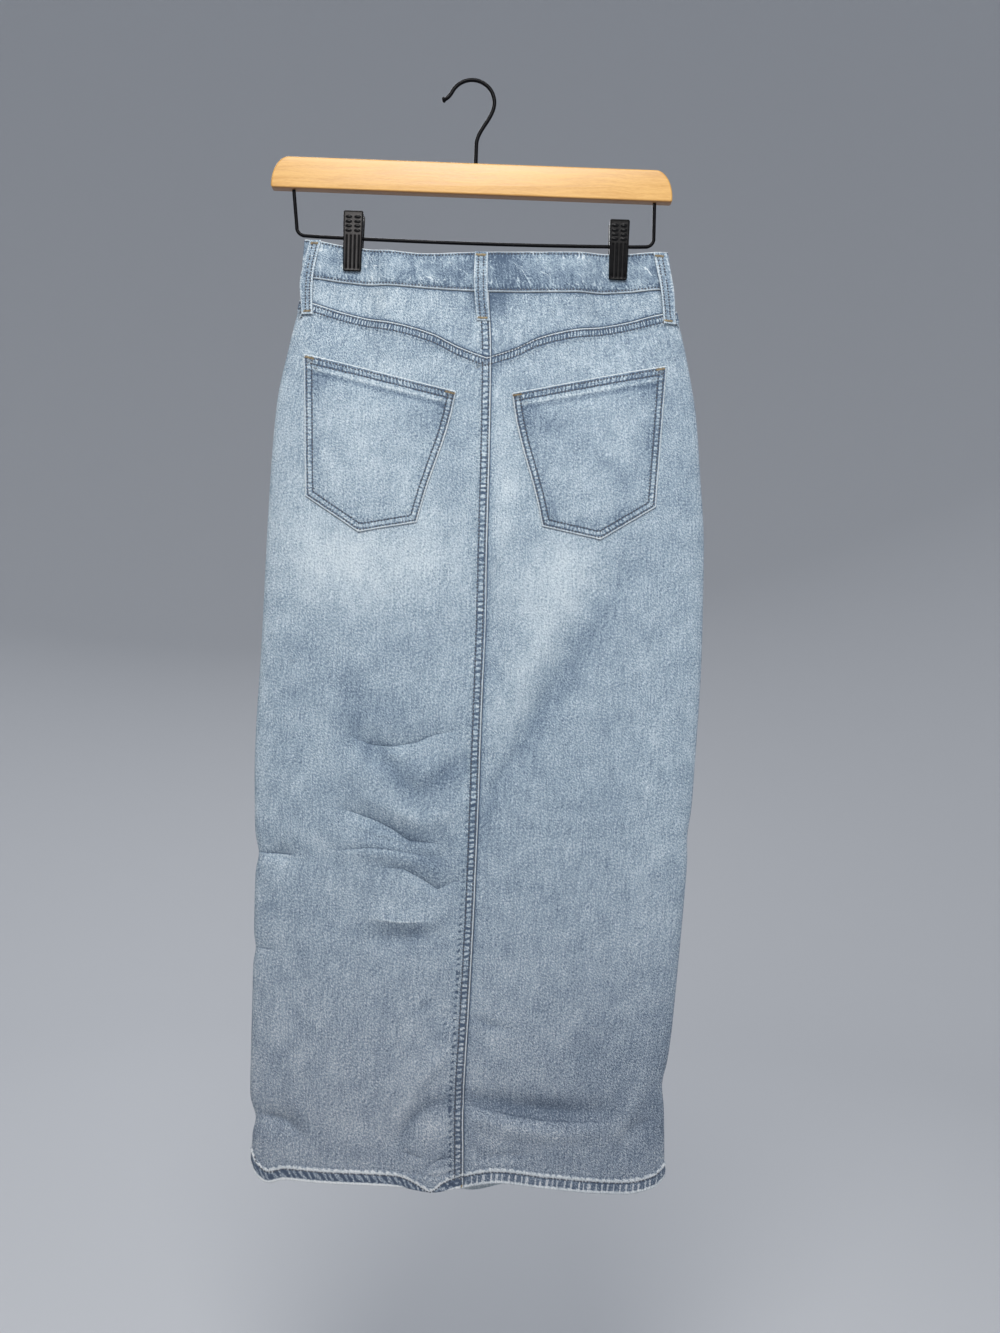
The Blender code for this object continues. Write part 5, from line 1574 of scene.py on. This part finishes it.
finishes = {  # speck is the scale of the fine unevenness, depth its height in metres
    "black enamel": {"colour": (0.003, 0.003, 0.004), "roughness": 0.26, "metallic": 0.0, "speck": 1500.0,
                     "depth": 0.00008, "specular": 0.06},
    # the last colour of the black plastic is a painted reflection for the flat of the clips' faces
    "black plastic": {"colour": (0.003, 0.003, 0.0035), "roughness": 0.27, "metallic": 0.0, "speck": 2200.0,
                      "depth": 0.00010, "specular": 0.12, "rubbed": (0.105, 0.098, 0.095, 1.0)},
    "spring steel": {"colour": (0.05, 0.05, 0.055), "roughness": 0.38, "metallic": 0.8, "speck": 1500.0,
                     "depth": 0.00005, "specular": 0.36},
    "antique brass": {"colour": (0.36, 0.25, 0.12), "roughness": 0.36, "metallic": 1.0, "speck": 900.0,
                      "depth": 0.00015, "specular": 0.36},
}
bar = {
    "left": -186.0,
    "right": 194.3,
    "top": -77.9,
    "bottom": -108.0,
    "slope": 0.0045,
    "thickness": 12.0,
    "endLength": 16.5,
    "endHeight": 26.0,
    "lowRadius": 2.5,
    "arris": 1.8,
    "arrisTurns": (90, 72, 54, 36, 18, 0),
    "pale": (0.71, 0.405, 0.118),
    "dark": (0.56, 0.285, 0.066),
    "edge": (0.21, 0.085, 0.030, 1.0),  # painted shade along the lower arris, which faces down
    "underShadeShare": 0.85,
    "grain": {"scale": 420.0, "run": 0.05, "wander": 0.007, "share": 1.35},
    "pores": {"scale": 1900.0, "run": 0.11, "share": 0.9},
    "cloud": {"scale": 24.0, "run": 0.35, "share": 0.6},
    "coat": 0.25,
}
wires = {
    "sides": 24,
    "hookRadius": 1.9,
    "bend": 21.3,
    "bendX": 1.5,
    "start": 152.0,  # angle of the bend's free end, in degrees from +X
    "end": -18.0,
    "steps": 66,
    "tip": (-24.6, -17.6),
    "tipLean": (3.4, 1.9),
    "ball": ((-2.4, 0.2), (-2.3, 0.62), (-1.95, 1.08), (-1.4, 1.38), (-0.7, 1.5), (0.0, 1.38), (0.55, 1.1),
             (1.0, 0.84), (1.6, 0.8)),  # place along the tip, share of the wire's radius
    "ballSlope": 0.25,
    "stemX": 7.0,
    "stem": (-47.0, -60.0, -70.0),  # heights where the neck ends and the stem runs straight
    "stemDepth": 14.0,
    "railRadius": 1.7,
    "railEnds": (-164.7, 178.0),
    "railLow": (-160.8, 178.4),
    "railHeight": -151.2,
    "railSag": 2.2,
    "railCorner": 8.0,
    "railDepth": 10.0,
}
jaw = {
    "top": -128.4,
    "bottom": -184.9,
    "pivot": -152.3,
    "widthTop": 19.0,
    "widthBottom": 17.0,
    "corner": 2.0,
    "seat": 3.65,
    "throat": 4.4,
    "outside": (9.2, 8.4, 6.6),  # at the top, the pivot and the bottom
    "step": 0.42,
    "columns": 44,
    "rim": 1.0,
    "plate": 0.5,  # how far the face is sunk inside its rim
    "edgeRound": 0.9,
    "knobs": {"x": 4.1, "rows": (5.9, 10.3, 14.5, 18.7), "wide": 3.0, "tall": 1.6, "rise": 0.95},
    "slots": {"pitch": 3.86, "from": 22.4, "to": 53.4, "half": 1.0, "depth": 0.9},
    "reflectionShares": {"clipLeftBack": 0.80, "clipRightBack": 0.14, "clipLeftFront": 0.4,
                "clipRightFront": 0.4},  # painted reflection: how much the flat of each face is lightened
}
spring = {"radius": 3.35, "wire": 0.55, "length": 12.4, "turns": 9, "steps": 24, "sides": 10}


def woodMaterial(name, look):
    tree, shader = newMaterial(name)
    x, y, z = split(tree, objectPlace(tree))
    grain, pores, cloud = look["grain"], look["pores"], look["cloud"]
    wander = noiseAt(tree, vectorOf(tree, times(tree, x, 6.0), z), 3.0, 1.0)
    bent = added(tree, (wander, grain["wander"]), (z, 1.0))
    streaks = noiseAt(tree, vectorOf(tree, times(tree, x, grain["run"]), bent, y), grain["scale"], 4.0)
    dots = noiseAt(tree, vectorOf(tree, times(tree, x, pores["run"]), bent, y), pores["scale"])
    patches = noiseAt(tree, vectorOf(tree, times(tree, x, cloud["run"]), z, y), cloud["scale"])
    value = added(tree, (streaks, grain["share"]), (patches, cloud["share"]), (dots, pores["share"]), (1.0, 0.48))
    colour = ramp(tree, value, ((0.1, look["dark"]), (0.7, look["pale"])))
    height = added(tree, (z, 1.0), (x, look["slope"]), (1.0, -(look["bottom"] + look["slope"] * look["left"]) * mm))
    # painted shade along the bar's lower arris
    under = times(tree, below(tree, height, 0.2 * mm, look["arris"] * mm), look["underShadeShare"])
    roughness = added(tree, (streaks, 0.25), (dots, 0.1), (1.0, 0.42))
    surfaced(tree, shader, mixed(tree, under, colour, look["edge"]), roughness,
             {"Coat Weight": look["coat"], "Coat Roughness": 0.3})
    bumped(tree, shader, added(tree, (streaks, 1.0), (dots, 0.6)), 0.00025, 0.5)


def hardMaterial(name, look):
    tree, shader = newMaterial(name)
    place = objectPlace(tree)
    patchy, fine = noiseAt(tree, place, 90.0, 3.0), noiseAt(tree, place, look["speck"])
    lighter = tuple(min(1.0, c * 1.6 + 0.002) for c in look["colour"])
    shown = ramp(tree, added(tree, (patchy, 0.8), (fine, 0.7), (1.0, 0.4)), ((0.1, look["colour"]), (0.9, lighter)))
    # painted reflection on the flat of each clip's face
    if "rubbed" in look:
        share = times(tree, partsOf(tree, "rubbed")[0], added(tree, (patchy, 0.5), (fine, 0.5), (1.0, 0.8)))
        shown = mixed(tree, share, shown, look["rubbed"])
    surfaced(tree, shader, shown, added(tree, (patchy, 0.16), (fine, 0.12), (1.0, look["roughness"])),
             {"Metallic": look["metallic"], "Specular IOR Level": look["specular"]})
    bumped(tree, shader, added(tree, (fine, 1.0), (patchy, 0.5)), look["depth"], 0.5)


woodMaterial("honey beech", bar)
for name, look in finishes.items():
    hardMaterial(name, look)
print("hanger materials made")


def ringMesh(name, rings, materialName):
    points = [tuple(c * mm for c in point) for ring in rings for point in ring]
    mesh = smoothMesh(name, points, rodFaces(0, len(rings), len(rings[0])))
    shape = bmesh.new()
    shape.from_mesh(mesh)
    bmesh.ops.recalc_face_normals(shape, faces=shape.faces)
    for edge in shape.edges:
        edge.smooth = edge.calc_face_angle(0.0) < math.radians(38.0)
    shape.to_mesh(mesh)
    shape.free()
    return placed(mesh, materialName)


def barDrop(x):
    return bar["slope"] * (x - bar["left"])


def barOutline(inset):
    left, right = bar["left"] + inset, bar["right"] - inset
    top, low = bar["top"] - inset, bar["bottom"] + inset
    rx, rz, small = bar["endLength"] - inset, bar["endHeight"] - inset, bar["lowRadius"] - inset
    corners = ((left + small, low + small, small, small, 270.0, 180.0, 8),
               (left + rx, top - rz, rx, rz, 180.0, 90.0, 28),
               (right - rx, top - rz, rx, rz, 90.0, 0.0, 28),
               (right - small, low + small, small, small, 0.0, -90.0, 8))
    points = []
    for cx, cz, ax, az, start, end, count in corners:
        for k in range(count):
            a = math.radians(start + (end - start) * k / (count - 1))
            x = cx + ax * math.cos(a)
            points.append((x, cz + az * math.sin(a) - barDrop(x)))
    return points


def makeBar():
    half, arris = bar["thickness"] / 2.0, bar["arris"]
    turns = [math.radians(a) for a in bar["arrisTurns"]]
    profile = [(arris * (1.0 - math.cos(a)), -half + arris * (1.0 - math.sin(a))) for a in turns]
    profile += [(inset, -y) for inset, y in reversed(profile)]
    rings = [[(x, y, z) for x, z in barOutline(inset)] for inset, y in profile]
    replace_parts(ringMesh("hangerBar", rings, "honey beech"), "hanger_bar")


def wireMesh(name, places, radius, materialName, sides, radii=()):  # radii: shares at the first places
    places = [Vector(place) for place in places]
    rings = []
    beside = None
    for k, place in enumerate(places):
        forward = (places[min(k + 1, len(places) - 1)] - places[max(k - 1, 0)]).normalized()
        if beside is None:
            beside = forward.cross(Vector((0.0, 1.0, 0.0))).normalized()
        beside = (beside - forward * beside.dot(forward)).normalized()
        other = forward.cross(beside)
        r = radius * (radii[k] if k < len(radii) else 1.0)
        rings.append([place + r * (math.cos(a) * beside + math.sin(a) * other) for a in fullTurn(sides)])
    return ringMesh(name, rings, materialName)


def bezier(a, b, c, d, count):
    points = []
    for k in range(1, count + 1):
        t = k / count
        s = 1.0 - t
        points.append(tuple(
            s**3 * a[i] + 3 * s * s * t * b[i] + 3 * s * t * t * c[i] + t**3 * d[i] for i in (0, 1)))
    return points


def flat(places):
    return [(x, 0.0, z) for x, z in places]


def makeHook():
    bend, start, steps, tip, x = wires["bend"], wires["start"], wires["steps"], wires["tip"], wires["stemX"]
    middleZ = -bend + wires["hookRadius"]
    turns = [math.radians(start + (wires["end"] - start) * k / steps) for k in range(steps + 1)]
    arc = [(wires["bendX"] + bend * math.cos(a), middleZ + bend * math.sin(a)) for a in turns]
    back = (4.0 * math.sin(turns[0]), -4.0 * math.cos(turns[0]))
    lean = (tip[0] + wires["tipLean"][0], tip[1] + wires["tipLean"][1])
    flick = bezier(tip, lean, (arc[0][0] - back[0], arc[0][1] - back[1]), arc[0], 16)
    places = [(tip[0] + along, tip[1] + wires["ballSlope"] * along) for along, _ in wires["ball"]]
    places += flick[1:-1] + arc
    end = places[-1]
    lead = (3.0 * (end[0] - places[-2][0]), 3.0 * (end[1] - places[-2][1]))
    neck, stem, straight = wires["stem"]
    places += bezier(end, (end[0] + 4.5 * lead[0], end[1] + 4.5 * lead[1]), (x, neck), (x, stem), 28)
    places += [(x, straight), (x, bar["top"] - barDrop(x) - wires["stemDepth"])]
    piece = wireMesh("hangerHook", flat(places), wires["hookRadius"], "black enamel", wires["sides"],
                     [size for _, size in wires["ball"]])
    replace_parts(piece, "hanger_hook")


def railHeight(x):
    low, high = wires["railLow"]
    t = (x - low) / (high - low)
    return wires["railHeight"] - wires["railSag"] * 4.0 * t * (1.0 - t)


def makeRail():
    radius, z = wires["railCorner"], wires["railHeight"]
    turns = [math.radians(180.0 + 90.0 * k / 16.0) for k in range(17)]
    corner = [(radius * (1.0 + math.cos(a)), radius * (1.0 + math.sin(a))) for a in turns]
    (leftEnd, rightEnd), (leftLow, rightLow) = wires["railEnds"], wires["railLow"]
    places = [(leftEnd, bar["bottom"] + wires["railDepth"]), (leftEnd, bar["bottom"] - 1.0)]
    places += [(leftLow + dx, z + dz) for dx, dz in corner]
    start, run = leftLow + radius, rightLow - leftLow - 2.0 * radius
    places += [(start + run * k / 30.0, railHeight(start + run * k / 30.0)) for k in range(1, 30)]
    places += [(rightLow - dx, z + dz) for dx, dz in reversed(corner)]
    rightFoot = bar["bottom"] - barDrop(rightEnd)
    places += [(rightEnd, rightFoot - 1.0), (rightEnd, rightFoot + wires["railDepth"])]
    piece = wireMesh("hangerRail", flat(places), wires["railRadius"], "black enamel", wires["sides"])
    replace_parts(piece, "hanger_rail")


def jawFace(x, down, half):  # how far the outside stands off the middle plane, and where it is flat
    knobs, slots = jaw["knobs"], jaw["slots"]
    out = smoothCurve((-jaw["top"], -jaw["pivot"], -jaw["bottom"]), jaw["outside"], -(jaw["top"] - down))
    edge = least(down, jaw["top"] - jaw["bottom"] - down, half - abs(x))
    inside = smoothstep((edge - jaw["rim"]) / 0.5)
    face = out - jaw["plate"] * inside
    for row in knobs["rows"]:
        away = np.hypot((abs(x) - knobs["x"]) / knobs["wide"], (down - row) / knobs["tall"])
        face += knobs["rise"] * np.sqrt(np.clip(1.0 - away**2, 0.0, 1.0)) ** 0.7
        inside = inside * smoothstep((away - 0.9) / 0.3)
    nearest = least(*(abs(abs(x) - place * slots["pitch"]) for place in (0.5, 1.5)))
    past = np.maximum(np.maximum(slots["from"] + slots["half"] - down, down - slots["to"]), 0.0)
    inSlot = 1.0 - smoothstep((np.hypot(nearest, past) - slots["half"] + 0.25) / 0.5)
    deeper = 1.0 + 0.5 * smoothstep((down - slots["to"] + 4.0) / 3.0)
    face -= slots["depth"] * deeper * inSlot
    return face - jaw["edgeRound"] * (1.0 - rounded(edge / jaw["edgeRound"])), inside * (1.0 - inSlot)


def jawSeat(z):  # the side towards the cloth: open at the top, a throat for the spring, the gripping flat
    top, pivot, bottom = -jaw["top"], -jaw["pivot"], -jaw["bottom"]
    outside, throat, seat = jaw["outside"][0], jaw["throat"], jaw["seat"]
    return np.interp(-z, (top, top + 1.0, pivot - 7.0, pivot + 5.0, pivot + 8.0, bottom - 1.0, bottom),
                     (outside - 3.0, outside - 3.6, throat + 0.3, throat, seat, seat, seat + 0.6))


def makeJaw(name, side, middle, word):
    length, wide = jaw["top"] - jaw["bottom"], jaw["widthBottom"] - jaw["widthTop"]
    down = np.concatenate(([0.0, 0.1, 0.3], np.arange(0.6, length - 0.5, jaw["step"]),
                           [length - 0.3, length - 0.1, length]))[:, None]
    half = (jaw["widthTop"] + wide * down / length) / 2.0
    half = half - jaw["corner"] * (1.0 - rounded(least(down, length - down) / jaw["corner"]))
    columns = np.linspace(-0.92, 0.92, jaw["columns"])
    x = half * np.concatenate(([-1.0, -0.985, -0.955], columns, [0.955, 0.985, 1.0]))
    out, face = jawFace(x, down + 0.0 * x, half)
    z = jaw["top"] - down + 0.0 * x
    outer = np.stack((middle + x, side * out, z), axis=-1)
    inner = np.stack((middle + x, side * jawSeat(z), z), axis=-1)
    # how much painted reflection each face's flat gets
    layers = {"rubbed": (face * jaw["reflectionShares"][name], 0.0, 0.0)}
    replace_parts(sheetMesh(name, inner, outer, layers, "black plastic"), word)


def makeSpring(name, middle, word):
    radius, steps, count = spring["radius"], spring["steps"], spring["turns"] * spring["steps"]
    places = []
    for k in range(count + 1):
        a = 2.0 * math.pi * k / steps
        x = middle + spring["length"] * (k / count - 0.5)
        places.append((x, radius * math.cos(a), railHeight(middle) + radius * math.sin(a)))
    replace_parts(wireMesh(name, places, spring["wire"], "spring steel", spring["sides"]), word)


makeBar()
makeHook()
makeRail()
for word, middle in zip(("left", "right"), tube["clips"]):
    makeJaw("clip" + word.title() + "Back", -1, middle, f"clip_{word}_jaw_back")
    makeJaw("clip" + word.title() + "Front", 1, middle, f"clip_{word}_jaw_front")
    makeSpring("spring" + word.title(), middle, f"clip_{word}_spring")
print("hanger made")


# The button on the lapped front end

button = {
    "radius": 8.5,
    "height": 2.6,
    "level": -186.0,
    "inset": 11.5,
    "sides": 72,
    "profile": ((0.72, 0.0), (0.90, 0.08), (0.97, 0.22), (1.0, 0.45), (0.985, 0.66), (0.94, 0.82), (0.88, 0.88),
                (0.83, 0.84), (0.80, 0.74), (0.74, 0.73), (0.66, 0.80), (0.5, 0.90), (0.34, 0.96), (0.2, 0.99),
                (0.08, 1.0)),  # shares of the radius and of the height
}


def makeButton():
    z = button["level"]
    row = sectionAt(z)
    x = float(row["left"] + row["right"]) / 2.0 + waistband["lap"] - button["inset"]
    base, normal = onCloth(1, x, z, 2.0 * waistband["thickness"] + 3.0 * tube["gap"])
    turn = Vector(normal.tolist()).to_track_quat("Z", "Y")
    rings = []
    for wide, high in button["profile"]:
        radius, height = wide * button["radius"], high * button["height"]
        rings.append([Vector(base.tolist()) + turn @ Vector((radius * math.cos(a), radius * math.sin(a), height))
                      for a in fullTurn(button["sides"])])
    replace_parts(ringMesh("waistButton", rings, "antique brass"), "waist_button")


makeButton()
print("button made")


# Stage, light and camera

studio = {
    "floor": -1.42,
    "radius": 5.5,
    "flatTo": 2.0,
    "rise": 4.4,  # how far the floor curls up at its rim
    "floorColour": (0.56, 0.57, 0.59),
    "world": (0.60, 0.64, 0.71),
    "worldStrength": 0.62,
    "key": {"at": (-0.10, -1.50, 0.85), "aim": (0.02, 0.0, -0.52), "size": 0.9, "watts": 34.0,
            "colour": (1.0, 0.985, 0.96)},
    "fill": {"at": (1.5, -1.8, -0.3), "aim": (0.0, 0.0, -0.6), "size": 1.4, "watts": 8.0,
             "colour": (0.93, 0.96, 1.0)},
    "back": {"at": (-0.6, 2.2, 1.1), "aim": (0.0, 0.0, -0.55), "size": 1.6, "watts": 30.0,
             "colour": (0.97, 0.98, 1.0)},
}
camera = {"at": (0.0459, -1.300, -0.554), "lens": 36.96, "sensor": 36.0, "roll": 1.9}  # roll in degrees


def makeFloor():
    rings, spokes, radius, flatTo = 40, 96, studio["radius"], studio["flatTo"]
    points, faces = [(0.0, 0.0, studio["floor"])], [(0, 1 + k, 1 + (k + 1) % spokes) for k in range(spokes)]
    for i in range(1, rings + 1):
        r = radius * i / rings
        curl = max(0.0, (r - flatTo) / (radius - flatTo))
        z = studio["floor"] + studio["rise"] * (1.0 - math.cos(0.5 * math.pi * curl))
        points += [(r * math.cos(a), r * math.sin(a), z) for a in fullTurn(spokes)]
    for a in range(1, 1 + (rings - 1) * spokes, spokes):
        b = a + spokes
        faces += [(a + k, b + k, b + (k + 1) % spokes, a + (k + 1) % spokes) for k in range(spokes)]
    mesh = smoothMesh("floor", points, faces)
    floor = bpy.data.objects.new("floor", mesh)
    bpy.context.scene.collection.objects.link(floor)
    shader = newMaterial("studio floor")[1]
    shader.inputs["Base Color"].default_value = (*studio["floorColour"], 1.0)
    shader.inputs["Roughness"].default_value = 0.85
    mesh.materials.append(bpy.data.materials["studio floor"])


def makeLamp(name, lamp):
    data = bpy.data.lights.new(name, "AREA")
    data.shape = "DISK"
    data.size = lamp["size"]
    data.energy = lamp["watts"]
    data.color = lamp["colour"]
    light = bpy.data.objects.new(name, data)
    light.location = lamp["at"]
    light.rotation_euler = (Vector(lamp["aim"]) - Vector(lamp["at"])).to_track_quat("-Z", "Y").to_euler()
    bpy.context.scene.collection.objects.link(light)


def makeWorld():
    world = bpy.data.worlds.new("studio air")
    world.use_nodes = True
    air = world.node_tree.nodes["Background"]
    air.inputs["Color"].default_value = (*studio["world"], 1.0)
    air.inputs["Strength"].default_value = studio["worldStrength"]
    bpy.context.scene.world = world


def makeCamera():
    data = bpy.data.cameras.new("camera")
    data.sensor_fit = "VERTICAL"
    data.sensor_height = camera["sensor"]
    data.lens = camera["lens"]
    eye = bpy.data.objects.new("camera", data)
    eye.matrix_world = (Matrix.Translation(camera["at"]) @ Matrix.Rotation(math.radians(90.0), 4, "X")
                        @ Matrix.Rotation(math.radians(camera["roll"]), 4, "Z"))
    bpy.context.scene.collection.objects.link(eye)
    bpy.context.scene.camera = eye
    bpy.context.scene.view_settings.view_transform = "Standard"


makeFloor()
for name in ("key", "fill", "back"):
    makeLamp(name, studio[name])
makeWorld()
makeCamera()
print("stage, light and camera made")
